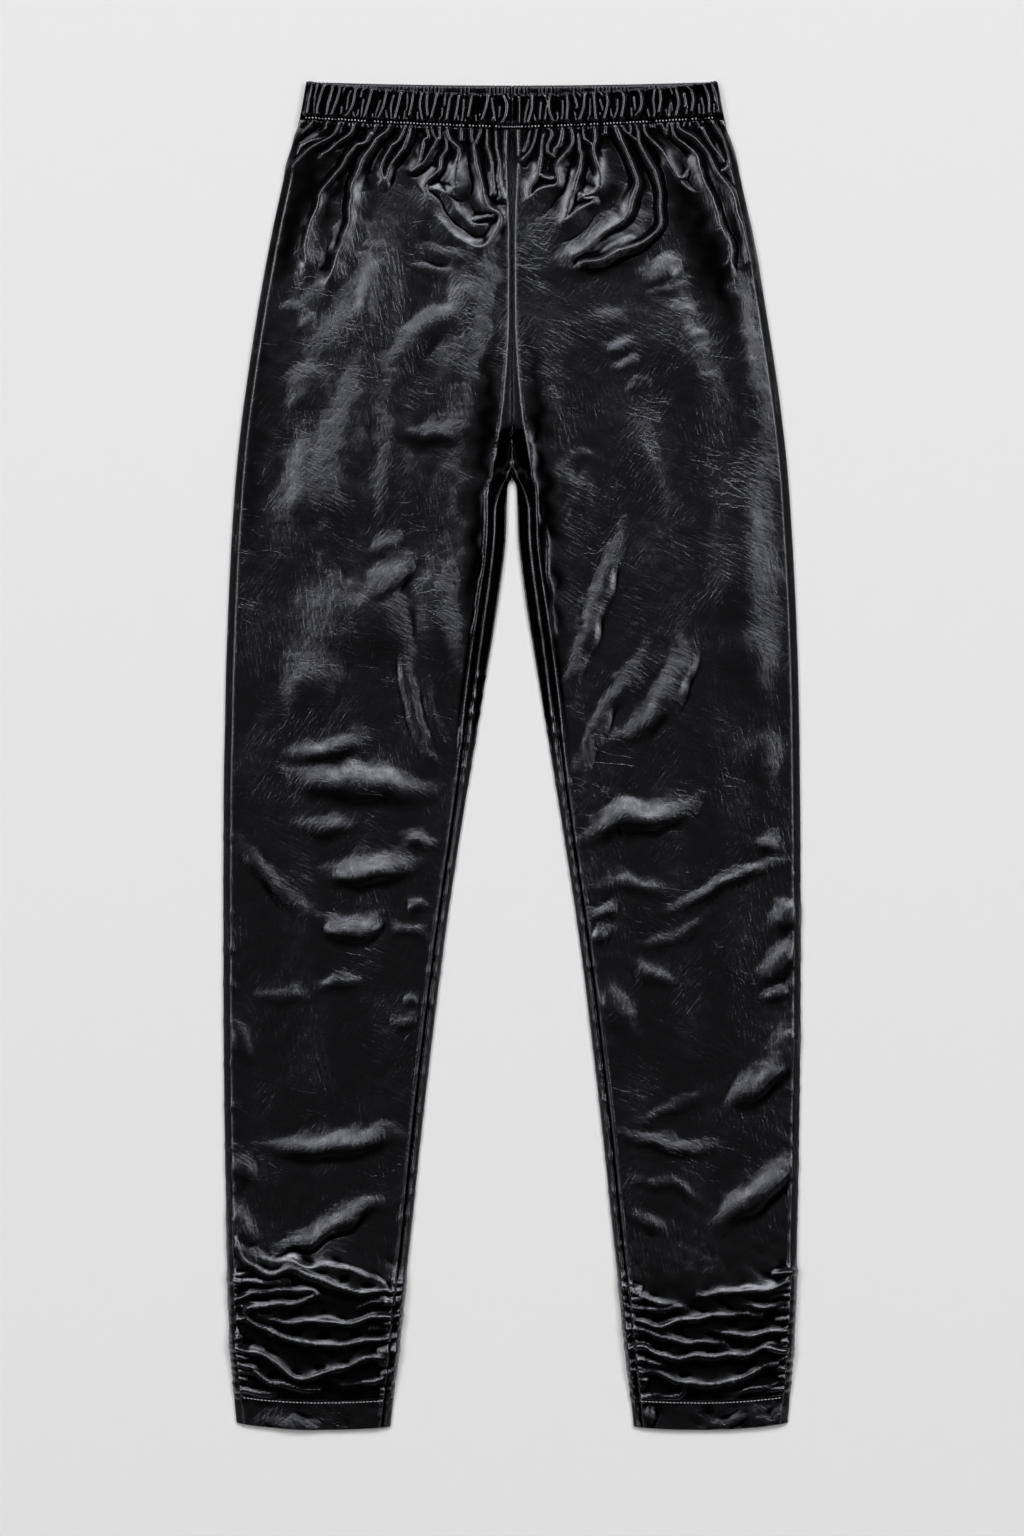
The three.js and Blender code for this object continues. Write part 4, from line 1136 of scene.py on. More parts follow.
def shell(outer, inner, flip, keep=None):
    """Closed shell between two grids of the same shape. keep marks the cells that are there.

    The inner face is the bare black back of the cloth, unless it comes with its own form."""
    rows, columns = outer.shape[:2]
    out = np.arange(rows * columns).reshape(rows, columns)
    inn = out + rows * columns
    if keep is None:
        keep = np.ones((rows - 1, columns - 1), bool)
    there = np.pad(keep, 1)
    mask = keep.ravel()
    polygons = [cells(out, flip)[mask], cells(inn, not flip)[mask]]
    sides = [  # the neighbour that is missing, and the edge towards it as (row, column) steps
        (there[:-2, 1:-1], (0, 0), (0, 1)), (there[1:-1, 2:], (0, 1), (1, 1)),
        (there[2:, 1:-1], (1, 1), (1, 0)), (there[1:-1, :-2], (1, 0), (0, 0)),
    ]
    for neighbour, a, b in sides:
        i, j = np.nonzero(keep & ~neighbour)
        at_a, at_b = (i + a[0], j + a[1]), (i + b[0], j + b[1])
        quad = np.stack([out[at_b], out[at_a], inn[at_a], inn[at_b]], -1)
        polygons.append(quad[:, ::-1] if flip else quad)
    outer = with_form(outer)
    if inner.shape[-1] == 3:
        inner = np.concatenate([inner, 0 * inner[..., :2] - 1], axis=-1)
    points = np.concatenate([outer.reshape(-1, 5), inner.reshape(-1, 5)])
    # leave out the points that no polygon uses
    used, compact = np.unique(np.concatenate([p.ravel() for p in polygons]), return_inverse=True)
    parts = np.split(compact.ravel(), np.cumsum([p.size for p in polygons])[:-1])
    return points[used], [part.reshape(-1, p.shape[1]) for part, p in zip(parts, polygons)]


# %% Shells with a coarse hidden face
def shell_with_coarse_back(outer, thick, every, flip):
    """Closed shell whose hidden face takes only every so many points of the outer face.

    Each coarse point takes the lowest height round it, so that the two faces never cross."""
    outer = with_form(outer)
    rows, columns = outer.shape[:2]
    out = np.arange(rows * columns).reshape(rows, columns)
    coarse = outer[::every, ::every].copy()
    padded = np.pad(outer[..., 2], every, mode="edge")
    for di in range(0, 2 * every + 1, 2):
        for dj in range(0, 2 * every + 1, 2):
            shifted = padded[di : di + rows, dj : dj + columns][::every, ::every]
            coarse[..., 2] = np.minimum(coarse[..., 2], shifted)
    coarse[..., 2] -= thick
    coarse[..., 3:] = -1
    inn = rows * columns + np.arange(coarse[..., 0].size).reshape(coarse.shape[:2])
    rims = []
    borders = [(grid[0], grid[:, -1], grid[-1, ::-1], grid[::-1, 0]) for grid in (out, inn)]
    for line, back in zip(*borders):
        for k in range(len(back) - 1):
            fine = line[k * every : (k + 1) * every + 1]
            rims.append(np.concatenate([fine[::-1], [back[k], back[k + 1]]]))
    rims = np.array(rims)
    polygons = [cells(out, flip), cells(inn, not flip), rims[:, ::-1] if flip else rims]
    return np.concatenate([outer.reshape(-1, 5), coarse.reshape(-1, 5)]), polygons


# %% Rows of a piece
def even_rows(stops, steps, multiple=1):
    """Levels between the stops, each stretch divided evenly, in a multiple of so many steps."""
    levels = [np.array([stops[0]], float)]
    for low, high, step in zip(stops[:-1], stops[1:], steps):
        count = multiple * math.ceil((high - low) / step / multiple)
        levels.append(np.linspace(low, high, count + 1)[1:])
    return np.concatenate(levels)


# %% [markdown]
# ## The coating
#
# The cloth is a black jersey under a thin film of polyurethane. The film is smooth enough to
# mirror a window as a soft patch, but it has a hair-like crinkle from the cloth beneath, a fine
# pebble, and creases where it was folded. A node group makes these once, for every coated
# material, and gives their height and three masks. The shader stays in the material. A layered
# shader such as a Glossy mix would work too, but Principled has a coat of its own.

# %% Helpers for node trees
def group_of(name, inputs, outputs):
    """An empty shader node group with number sockets, and its input and output nodes."""
    group = bpy.data.node_groups.new(name, "ShaderNodeTree")
    for socket, default in inputs:
        made = group.interface.new_socket(socket, in_out="INPUT", socket_type="NodeSocketFloat")
        made.default_value = default
    for socket in outputs:
        group.interface.new_socket(socket, in_out="OUTPUT", socket_type="NodeSocketFloat")
    return group, group.nodes.new("NodeGroupInput"), group.nodes.new("NodeGroupOutput")


def math_node(tree, operation, *values):
    """A Math node whose inputs are numbers or the outputs of other nodes."""
    node = tree.nodes.new("ShaderNodeMath")
    node.operation = operation
    for socket, value in zip(node.inputs, values):
        if isinstance(value, (int, float)):
            socket.default_value = value
        else:
            tree.links.new(value, socket)
    return node.outputs[0]


def noise_node(tree, vector, scale, detail=2.0, rough=0.5, distortion=0.0):
    node = tree.nodes.new("ShaderNodeTexNoise")
    node.inputs["Scale"].default_value = scale
    node.inputs["Detail"].default_value = detail
    node.inputs["Roughness"].default_value = rough
    node.inputs["Distortion"].default_value = distortion
    tree.links.new(vector, node.inputs["Vector"])
    return node.outputs["Fac"]


def mix_node(tree, share, a, b, kind="FLOAT"):
    node = tree.nodes.new("ShaderNodeMix")
    node.data_type = kind
    if isinstance(share, float):
        node.inputs["Factor"].default_value = share
    else:
        tree.links.new(share, node.inputs["Factor"])
    tree.links.new(a, node.inputs["A"])
    tree.links.new(b, node.inputs["B"])
    return node.outputs["Result"]


def streaks(tree, place, angle, along_mm, across_mm, detail=3.0):
    """Hair-like noise, stretched along one direction on the table."""
    turn = tree.nodes.new("ShaderNodeMapping")
    turn.vector_type = "TEXTURE"
    turn.inputs["Rotation"].default_value = (0.0, 0.0, math.radians(angle))
    turn.inputs["Scale"].default_value = (across_mm * MM, along_mm * MM, 4 * MM)
    tree.links.new(place, turn.inputs["Vector"])
    return noise_node(tree, turn.outputs["Vector"], 1.0, detail, 0.55, 0.4)


# %% Masks from the form of the cloth, and the painted shade
crinkle, crinkle_in, crinkle_out = group_of(
    "coated_crinkle_and_painted_shade",
    [("Hairs", 1.0), ("Pebble", 1.0), ("Creases", 1.0)],
    ["Height", "Mask", "Depth", "Dull"],
)
form, wear_and_painted_shade = (crinkle.nodes.new("ShaderNodeAttribute") for _ in range(2))
form.attribute_name, wear_and_painted_shade.attribute_name = "form", "crinkled_and_painted_shade"
# painted shade, from 0 to 1: the hollows of the form and the places listed for it
lowest = math_node(crinkle, "MINIMUM", form.outputs["Fac"], wear_and_painted_shade.outputs["Fac"])
depth = math_node(crinkle, "MULTIPLY", math_node(crinkle, "MINIMUM", lowest, 0.0), -1.0)
depth = math_node(crinkle, "MINIMUM", depth, 1.0)
dull = math_node(crinkle, "MAXIMUM", wear_and_painted_shade.outputs["Fac"], 0.0)
crinkle.links.new(depth, crinkle_out.inputs["Depth"])
crinkle.links.new(dull, crinkle_out.inputs["Dull"])
print("attributes read:", form.attribute_name, wear_and_painted_shade.attribute_name)

# %% Hairs and pebble
# the hairs of the crinkle run three ways, and each way has regions of its own
crinkle_place = crinkle.nodes.new("ShaderNodeTexCoord").outputs["Object"]
hairs_a = streaks(crinkle, crinkle_place, 62, 9.0, 2.1)
hairs_b = streaks(crinkle, crinkle_place, -34, 8.0, 1.9)
hairs_c = streaks(crinkle, crinkle_place, 12, 9.5, 2.2)
region = map_range(crinkle, noise_node(crinkle, crinkle_place, 16.0, 1.0), (0.44, 0.56))
region_c = map_range(crinkle, noise_node(crinkle, crinkle_place, 9.0, 1.0, 0.5, 1.5), (0.42, 0.58))
hairs = mix_node(crinkle, region_c, mix_node(crinkle, region, hairs_a, hairs_b), hairs_c)
crinkle.links.new(hairs, crinkle_out.inputs["Mask"])
pebble = noise_node(crinkle, crinkle_place, 1100.0, 2.0)

# %% Creases
# cells with warped edges give the fine cracks of a worn coating
warp = crinkle.nodes.new("ShaderNodeTexNoise")
warp.inputs["Scale"].default_value = 60.0
warp.inputs["Detail"].default_value = 2.0
crinkle.links.new(crinkle_place, warp.inputs["Vector"])
cracks = crinkle.nodes.new("ShaderNodeTexVoronoi")
cracks.feature = "DISTANCE_TO_EDGE"
cracks.inputs["Scale"].default_value = 95.0
warped = mix_node(crinkle, 0.012, crinkle_place, warp.outputs["Color"], "VECTOR")
crinkle.links.new(warped, cracks.inputs["Vector"])
crack_line = map_range(crinkle, cracks.outputs["Distance"], (0.0, 0.035))
cracked = math_node(crinkle, "SUBTRACT", 1.0, crack_line)
cracked = math_node(crinkle, "MULTIPLY", cracked, 0.3)
# long fine creases run where a slow noise crosses its middle value
slow = streaks(crinkle, crinkle_place, 78, 40.0, 13.0, 4.0)
from_middle = math_node(crinkle, "ABSOLUTE", math_node(crinkle, "SUBTRACT", slow, 0.5))
creased = map_range(crinkle, from_middle, (0.0, 0.03), (1.0, 0.0))
# both lie only in some patches
patch = map_range(crinkle, noise_node(crinkle, crinkle_place, 22.0, 1.0), (0.50, 0.64))
creased = math_node(crinkle, "MAXIMUM", cracked, creased)
creased = math_node(crinkle, "MULTIPLY", creased, patch)

# %% Height of the coating
height = math_node(crinkle, "MULTIPLY", hairs, crinkle_in.outputs["Hairs"])
height = math_node(crinkle, "MULTIPLY_ADD", pebble, crinkle_in.outputs["Pebble"], height)
creased = math_node(crinkle, "MULTIPLY", creased, crinkle_in.outputs["Creases"])
height = math_node(crinkle, "SUBTRACT", height, creased)
# the relief is weak in the hollows, where the film is stretched, and strong where it is dull
HOLLOW_RELIEF, DULL_RELIEF = -0.9, 1.8
share = math_node(crinkle, "MULTIPLY_ADD", depth, HOLLOW_RELIEF, 1.0)
share = math_node(crinkle, "MULTIPLY_ADD", dull, DULL_RELIEF, share)
crinkle.links.new(math_node(crinkle, "MULTIPLY", height, share), crinkle_out.inputs["Height"])
print("crinkle group nodes:", len(crinkle.nodes))

# %% [markdown]
# ## Two coated materials
#
# The panels and the casing are the same cloth, but the casing is stretched over its elastic, so
# its film is smoother. The base is rough where the coating is dull, and it carries the bump. The
# coat over it has no bump of its own, so each fold keeps one clear highlight over the grain.
# Metallic carries the painted shade: a metal of black colour mirrors almost nothing, so where it
# is 1 the cloth is black, and the coat is taken away there too. The slight blue of the film is in
# the tint of the mirrored light.

# %% Coated cloth
JERSEY_DARK, JERSEY_LIGHT = (0.0007, 0.0007, 0.0008), (0.0014, 0.0014, 0.0016)
FILM_MIRROR, FILM_TINT = 0.62, (0.91, 0.92, 1.0, 1.0)
FILM_ROUGH = (0.16, 0.20)  # roughness between the hairs and on them
COAT = 0.6  # weight of the clear coat, less where the film is worn and where shade is painted
WORN_ROUGH, WORN_COAT = 0.26, 0.3  # what wear adds to the roughness and takes from the coat


def coated(name, hairs_share, pebble_share, crease_share, bump_mm, coat_roughness):
    """A coated cloth: its share of each relief, their height, and how sharp its coat mirrors."""
    material = bpy.data.materials.new(name)
    material.use_nodes = True
    tree = material.node_tree
    shader = tree.nodes["Principled BSDF"]
    shader.inputs["IOR"].default_value = 1.5
    shader.inputs["Specular IOR Level"].default_value = FILM_MIRROR
    shader.inputs["Specular Tint"].default_value = FILM_TINT
    shader.inputs["Coat Roughness"].default_value = coat_roughness
    shader.inputs["Coat IOR"].default_value = 1.5
    node = tree.nodes.new("ShaderNodeGroup")
    node.node_tree = crinkle
    node.inputs["Hairs"].default_value = hairs_share
    node.inputs["Pebble"].default_value = pebble_share
    node.inputs["Creases"].default_value = crease_share
    bump = tree.nodes.new("ShaderNodeBump")
    bump.inputs["Distance"].default_value = bump_mm * MM
    bump.inputs["Strength"].default_value = 1.0
    tree.links.new(node.outputs["Height"], bump.inputs["Height"])
    tree.links.new(bump.outputs["Normal"], shader.inputs["Normal"])
    colour = tree.nodes.new("ShaderNodeMapRange")
    colour.data_type = "FLOAT_VECTOR"
    colour.inputs["To Min"].default_value = JERSEY_DARK
    colour.inputs["To Max"].default_value = JERSEY_LIGHT
    tree.links.new(node.outputs["Mask"], colour.inputs["Vector"])
    tree.links.new(colour.outputs["Vector"], shader.inputs["Base Color"])
    rough = map_range(tree, node.outputs["Mask"], to_range=FILM_ROUGH)
    rough = math_node(tree, "MULTIPLY_ADD", node.outputs["Dull"], WORN_ROUGH, rough)
    tree.links.new(rough, shader.inputs["Roughness"])
    # painted shade: a black metal, which shows almost no reflection
    tree.links.new(node.outputs["Depth"], shader.inputs["Metallic"])
    # the painted shade takes the coat away, and wear takes a part of it
    gloss = math_node(tree, "MULTIPLY_ADD", node.outputs["Depth"], -COAT, COAT)
    gloss = math_node(tree, "MULTIPLY_ADD", node.outputs["Dull"], -WORN_COAT, gloss)
    gloss = math_node(tree, "MAXIMUM", gloss, 0.0)
    tree.links.new(gloss, shader.inputs["Coat Weight"])
    return material


# %% Coated jersey, flat and gathered
coated_cloth = coated("coated_jersey", 0.7, 0.14, 0.16, 0.46, 0.19)
casing_cloth = coated("coated_jersey_gathered", 0.4, 0.15, 0.02, 0.1, 0.14)
print("materials:", coated_cloth.name, casing_cloth.name)

# %% [markdown]
# ## Front panels
#
# A front panel is cut in one from the casing to the hem. Here it is a level grid that is bent
# at both ends: up to the dip of the waist seam, and round the lower edge of the hem. The grid
# is finer under the waist and at the ankle, where the folds are smallest.

# %% Front panels
EVERY = 6  # fine steps to one coarse step of the hidden face
FRONT_STOPS = (CUFF_Y + SEAM_GAP / 2, -340, 345, BAND_Y - SEAM_GAP / 2)
FRONT_LEVELS = even_rows(FRONT_STOPS, (1.1, 2.7, 0.8), EVERY)
FRONT_COLUMNS = 30 * EVERY
FRONT_THICK = 0.8


def front_grid(side, levels, columns):
    """The face of a front piece between its inner seam and its side seam, on its level rows."""
    out, inner = edges(side, levels)
    inner_shift = inner - inner_edge(levels)
    start = inner_seam(levels) + np.where(levels < FORK_Y, inner_shift, 0) + SEAM_GAP / 2
    seam = out - SIDE_STRIP
    share = np.linspace(0, 1, columns + 1)
    u = start[:, None] + (seam - SEAM_GAP / 2 - start)[:, None] * share
    row = np.repeat(levels[:, None], columns + 1, axis=1)
    y = bent_row(row, u, FRONT_SEAM_DIP)
    z = upper_height(side * u, y, row, seam[:, None])
    return np.stack([side * u, y, z], axis=-1)


SIDES = {"left": 1, "right": -1}
pieces = {}
for name, side in SIDES.items():
    grid = front_grid(side, FRONT_LEVELS, FRONT_COLUMNS)
    points, polygons = shell_with_coarse_back(grid, FRONT_THICK, EVERY, side < 0)
    pieces["front_" + name] = add_cloth("panel_front_" + name, points, polygons, coated_cloth)
    low, high = grid[..., 2].min(), grid[..., 2].max()
    print("front", name, grid.shape, "height in mm", low.round(1), high.round(1))

# %% [markdown]
# ## Back panels
#
# The back panel lies on the table and comes up round both edges of the leg. It is a ring:
# a narrow lip down to the side seam, a half turn round the outer edge, the underside, a half
# turn round the inner edge and a lip to the inseam. Above the fork the inner half turn ends,
# and only a short tongue goes on to the crotch, so those cells of the grid are left out.

# %% The underside, and the turns round the edges
FALL_STEPS, TUCK_STEPS, UNDER_STEPS, TONGUE_STEPS = 8, 4, 52, 10
TURN_SLOPE = 0.62  # the cloth falls from its crest at this slope before it turns under
KNEE_HIGH = 2.6  # and starts to turn at most this far above the table


def underside(x, y):
    """The underside is pressed flat, apart from shallow hollows where its own folds lie."""
    folded = fold_field(-0.97 * x, y + 9)
    from_outer, from_inner = outer_edge(y) - np.abs(x), np.abs(x) - inner_edge(y)
    inset = smoothstep(from_outer, 3, 14) * smoothstep(from_inner, 3, 14)
    return np.clip(0.45 * folded - 0.35, 0, 1.3) * inset


def round_edge(edge, width, top, outward):
    """Cloth that falls from a crest to the edge of the leg and tucks under it.

    Gives rows of: distance from the centre line, height, and the way to its inner face."""
    knee = np.minimum(0.4 * top, KNEE_HIGH)
    bend_u = edge - outward * 0.12 * width
    bend_z = np.maximum(top - TURN_SLOPE * 0.88 * width, knee + 0.35)
    for t in np.linspace(0, 1, FALL_STEPS + 1):
        u = (1 - t) ** 2 * (edge - outward * width) + 2 * t * (1 - t) * bend_u + t * t * edge
        z = (1 - t) ** 2 * top + 2 * t * (1 - t) * bend_z + t * t * knee
        yield u, z, -outward * (0.5 + 0.5 * t), -0.87 * (1 - t)
    for angle in np.linspace(0, math.pi / 2, TUCK_STEPS + 1)[1:]:
        s, c = math.sin(angle), math.cos(angle)
        yield edge - outward * 0.9 * knee * (1 - c), knee * (1 - s), -outward * c, s


# %% A back piece as a ring
FORK_CLOSE = 9.0  # length above the fork over which the rolls of the two legs meet


def back_grid(side, levels, thick):
    """Outer and inner face of a back piece as a ring round the leg, and which cells are there."""
    row = levels
    out, inner = edges(side, row)
    seam = out - SIDE_STRIP
    # the inner roll narrows towards the fork and closes above it
    above = 0.4 * (1 - smoothstep(row, FORK_Y, FORK_Y + FORK_CLOSE))
    soft = np.where(row > FORK_Y, above, 1 - 0.6 * smoothstep(row, FORK_Y - 25, FORK_Y))

    def height(u):
        return upper_height(side * u, bent_row(row, u, FRONT_SEAM_DIP), row, seam)

    width_in = np.maximum(INNER_ROLL(row) * soft, 0.1)
    shift = np.where(row < FORK_Y, inner - inner_edge(row), 0)
    seam_in = np.maximum(inner_seam(row), TONGUE_TIP) + shift
    ring = list(round_edge(out, SIDE_STRIP - SEAM_GAP / 2, height(seam), 1))
    under_in = list(round_edge(inner, width_in, height(inner + width_in), -1))[::-1]
    under_start, under_end = ring[-1][0], under_in[0][0]
    for t in np.linspace(0, 1, UNDER_STEPS + 1)[1:-1]:
        u = under_start * (1 - t) + under_end * t
        ring.append((u, underside(side * u, row), 0, 1))
    turn_start = len(ring) - 1
    ring += under_in
    for t in np.linspace(0, 1, TONGUE_STEPS + 1)[1:]:
        u = (inner + width_in) * (1 - t) + (seam_in - SEAM_GAP / 2) * t
        ring.append((u, height(u), 0, -1))
    ring = [[value + 0 * row for value in point] for point in ring]
    u, z, inward_u, inward_z = (np.stack(column, axis=1) for column in zip(*ring))
    rows = np.repeat(row[:, None], u.shape[1], axis=1)
    dip = np.where(z > 2.5, FRONT_SEAM_DIP, BACK_SEAM_DIP)
    y = bent_row(rows, np.abs(u), dip)
    outer = np.stack([side * u, y, z], axis=-1)
    inside = np.stack([side * (u + inward_u * thick), y, z + inward_z * thick], axis=-1)
    cell = np.arange(u.shape[1] - 1)
    turn_end = turn_start + FALL_STEPS + TUCK_STEPS + 1
    is_turn, is_lip = (cell >= turn_start) & (cell < turn_end), cell >= turn_end
    high = row[1:, None] - 0.01
    keep = ~((is_turn & (high > FORK_Y + FORK_CLOSE)) | (is_lip & (high > CROTCH_Y)))
    return outer, inside, keep


# %% Back panels
BACK_THICK = 0.9
BACK_STOPS = (CUFF_Y + SEAM_GAP / 2, -340, FORK_Y, CROTCH_Y, BAND_Y - SEAM_GAP / 2)
BACK_LEVELS = even_rows(BACK_STOPS, (1.6, 2.4, 1.6, 2.4))

for name, side in SIDES.items():
    outer, inside, keep = back_grid(side, BACK_LEVELS, BACK_THICK)
    points, polygons = shell(outer, inside, side < 0, keep)
    pieces["back_" + name] = add_cloth("panel_back_" + name, points, polygons, coated_cloth)
    print("back", name, outer.shape, "lowest point in mm", outer[..., 2].min().round(3))

# %% [markdown]
# ## Hems
#
# The lower edge of each leg is turned up twice and stitched. It is thicker than the panel and
# follows the same outline, so it reuses the two grids above on its own few rows.

# %% Hems
HEM_LEVELS = even_rows((HEM_Y, CUFF_Y - SEAM_GAP / 2), (0.9,), EVERY)
HEM_COLUMNS = 20 * EVERY
HEM_THICK_FRONT, HEM_THICK_BACK = 1.3, 1.2

for name, side in SIDES.items():
    grid = front_grid(side, HEM_LEVELS, HEM_COLUMNS)
    points, polygons = shell_with_coarse_back(grid, HEM_THICK_FRONT, EVERY, side < 0)
    pieces["hem_front_" + name] = add_cloth("cuff_front_" + name, points, polygons, coated_cloth)
    outer, inside, keep = back_grid(side, HEM_LEVELS, HEM_THICK_BACK)
    points, polygons = shell(outer, inside, side < 0, keep)
    pieces["hem_back_" + name] = add_cloth("cuff_back_" + name, points, polygons, coated_cloth)
print("hems:", [p for p in pieces if p.startswith("hem")])

# %% [markdown]
# ## Waistband
#
# The waistband is a casing: cloth folded over a wide elastic and stitched down. The elastic
# pulls it into small pleats, which run from the stitches to the top edge, lean outwards and
# fork at their ends. The casing is wider than the panel, so it is drawn as steep tents that
# meet in black valleys. At the centre of the front the elastic is joined, and the cloth lies
# flat over the join. The pleats are irregular, so they are rows of a table again.

# %% Pleats of the casing, right half
CASING_RIGHT = [  # path from top to bottom, half width, rise
    (((-141.5, 480), (-143.5, 470), (-146, 456)), 4.4, 3.1),
    (((-138, 479), (-140, 468), (-140.5, 458), (-140, 455)), 2.6, 2.3),
    (((-132, 479), (-135.5, 470), (-138, 462), (-138.5, 456)), 4.4, 3.3),
    (((-126, 478), (-130, 467), (-132, 455)), 3.4, 1.9),
    (((-129, 458), (-130.3, 455)), 2.2, 2.8),
    (((-121.8, 478), (-123.2, 469), (-126, 461), (-128.5, 455)), 4.3, 3.2),
    (((-116, 476.5), (-119, 474), (-121, 470)), 2.6, 2.4),
    (((-121, 461), (-121.4, 456)), 2, 2.6),
    (((-114.5, 472), (-116.5, 467), (-117.5, 457)), 2.6, 2.4),
    (((-110.3, 476), (-111.5, 470), (-113.5, 461), (-118, 454)), 4.3, 3.3),
    (((-114, 462), (-112, 453)), 2.6, 2.4),
    (((-104, 475), (-106.5, 472), (-107.3, 468)), 2.6, 2.2),
    (((-105.3, 466), (-106.5, 460), (-107, 453)), 2.6, 2.6),
    (((-109, 459), (-110.2, 454)), 2, 2.9),
    (((-98.7, 475), (-101, 467), (-103.5, 458), (-105, 453)), 4.2, 3.2),
    (((-93.5, 465), (-96, 458), (-97, 453)), 2.6, 2.6),
    (((-99, 456), (-99.2, 453)), 1.8, 2.6),
    (((-88.5, 473), (-89.8, 468), (-91.5, 461), (-94.8, 453)), 4.2, 3.2),
    (((-91, 462), (-88.5, 453)), 2.4, 2.2),
    (((-84, 469), (-86, 461), (-85.4, 452)), 2.6, 2.3),
    (((-78.8, 471), (-80.5, 463), (-83.5, 452)), 4.2, 3.2),
    (((-80.5, 456), (-80.3, 452)), 1.8, 2.6),
    (((-76, 458), (-77, 451)), 2, 2.7),
    (((-74, 470), (-74.4, 460), (-75, 451)), 2.4, 2.7),
    (((-70, 473), (-70.8, 465), (-72.8, 455)), 4.2, 3.2),
    (((-64, 471), (-65.5, 462), (-63.5, 452)), 2.8, 1.9),
    (((-67, 457), (-67.2, 452)), 1.9, 2.8),
    (((-60, 474), (-60.3, 463), (-59.8, 455)), 4, 3.2),
    (((-52.5, 472), (-54.5, 464), (-57.5, 453)), 4.2, 3.3),
    (((-49.5, 460), (-49.8, 455), (-51.6, 452)), 2, 2.5),
    (((-47, 471), (-48, 462)), 2.6, 1.7),
    (((-41, 471), (-44, 466), (-44.8, 461), (-46.5, 452)), 4, 3.2),
    (((-37.5, 469), (-39, 460), (-40.5, 452)), 2.8, 1.9),
    (((-38.6, 455), (-38, 451.5)), 1.8, 2.5),
    (((-34.2, 466), (-34.5, 458), (-35.5, 451)), 2.6, 2.8),
    (((-33, 461), (-33.2, 450)), 2.2, 2.7),
    (((-27.5, 471), (-29, 465), (-31, 454)), 4, 3.2),
    (((-25.5, 455), (-25.3, 451)), 1.9, 2.8),
    (((-22.8, 456), (-23, 451)), 1.9, 2.8),
    (((-17.3, 471), (-17.2, 466), (-18.8, 459), (-21, 452)), 4.2, 3.2),
    (((-14.5, 467), (-12.5, 455), (-12, 451)), 2.8, 2.2),
    (((-13.2, 454), (-14.2, 451)), 1.9, 2.6),
    (((-8.5, 461), (-9, 450)), 2.2, 2.4),
]

# %% Pleats of the casing, left half
CASING_LEFT = [
    (((12, 466), (10.2, 459), (9, 452), (8.9, 449)), 3, 2.9),
    (((13.6, 471), (14, 466), (13.6, 459), (11, 450)), 4.2, 3.2),
    (((14, 459), (16.8, 451)), 2.2, 2.4),
    (((20.5, 464), (19.5, 452)), 2.8, 2.4),
    (((22.3, 471), (25, 465), (24.4, 459), (23, 452)), 3.4, 2.8),
    (((27, 472), (26, 465), (26.4, 458), (28.8, 451)), 4, 3.2),
    (((32, 457), (32.6, 454), (31.6, 451)), 2, 2.8),
    (((36, 465), (36, 458), (35.2, 452)), 2.8, 2.9),
    (((38.6, 471), (39.2, 462), (38.4, 452)), 4, 3.1),
    (((43.5, 470), (46, 463), (45.8, 460)), 2.8, 1.8),
    (((44.6, 457), (45.6, 452)), 2, 2.8),
    (((46.8, 471.5), (49.5, 467)), 2.2, 2.7),
    (((51.4, 472), (50.8, 462), (49.8, 458), (47.6, 452)), 4.2, 3.3),
    (((55.8, 467), (55.2, 455)), 2.4, 2.6),
    (((55, 455), (54, 452)), 1.6, 2.4),
    (((55.2, 455), (56.8, 452)), 1.6, 2.4),
    (((57.8, 472), (58.4, 463), (59.6, 452)), 4, 3.2),
    (((61.8, 472.5), (65, 468)), 2.2, 2.7),
    (((62.4, 466), (65.2, 457)), 2.8, 2.4),
    (((62.4, 457), (62.8, 453)), 1.8, 2.7),
    (((66.6, 473), (67.7, 466), (67.3, 461), (65.2, 453)), 4.2, 3.2),
    (((68.6, 463), (71, 454)), 2.4, 1.8),
    (((75, 466), (74.6, 459), (72.6, 453)), 2.6, 2.7),
    (((75.2, 457), (75.8, 453)), 1.8, 2.8),
    (((75.2, 472.5), (78.8, 469.5), (79, 463), (77.4, 454)), 4.2, 3.3),
    (((80, 474), (79, 470)), 2, 3),
    (((86.5, 474.5), (89, 473), (91.3, 469.5), (91.7, 463), (90, 458), (88, 455)), 4.2, 3.3),
    (((92, 475), (91.5, 469)), 2, 3),
    (((86.5, 468), (88, 456)), 2.8, 1.9),
    (((84.8, 460), (85.2, 454)), 2, 2.8),
    (((98.6, 474.6), (101, 474), (103.2, 471)), 2.2, 2.8),
    (((104.6, 475), (105.4, 466), (104, 457)), 4.2, 3.2),
    (((101, 472), (100.4, 465), (101.3, 458), (100.8, 454)), 2.8, 2.5),
    (((96.4, 459), (97.6, 454)), 2, 2.9),
    (((112.4, 476), (114, 470)), 2.2, 2.5),
    (((115.8, 476), (117.4, 469), (118, 463), (116, 455)), 4.2, 3.3),
    (((113, 464), (111.8, 459), (112, 454)), 2.4, 2.7),
    (((113.2, 463), (114.4, 455)), 2.2, 2.8),
    (((109.4, 459), (110.8, 455)), 1.9, 2.6),
    (((121.2, 477.4), (124, 475), (127.3, 472), (128.6, 466), (127.4, 458)), 4.2, 3.4),
    (((127.8, 479), (127.4, 473)), 2, 3),
    (((122.5, 470), (124, 462)), 3, 1.6),
    (((125, 461), (123.8, 456)), 2, 2.7),
    (((133.2, 480), (137.2, 474), (139.6, 467), (139.8, 457)), 4.4, 3.3),
    (((134.6, 467), (136.2, 460), (136, 456)), 2.6, 2.6),
    (((132.8, 463), (133.3, 456)), 2, 2.6),
    (((143.4, 463), (143.7, 457)), 2.2, 2.4),
    (((141, 480), (145, 470), (147, 458)), 3.4, 1.7),
]
CASING_WIDTH, CASING_RISE, CASING_CREST = 0.86, 1.08, 0.3


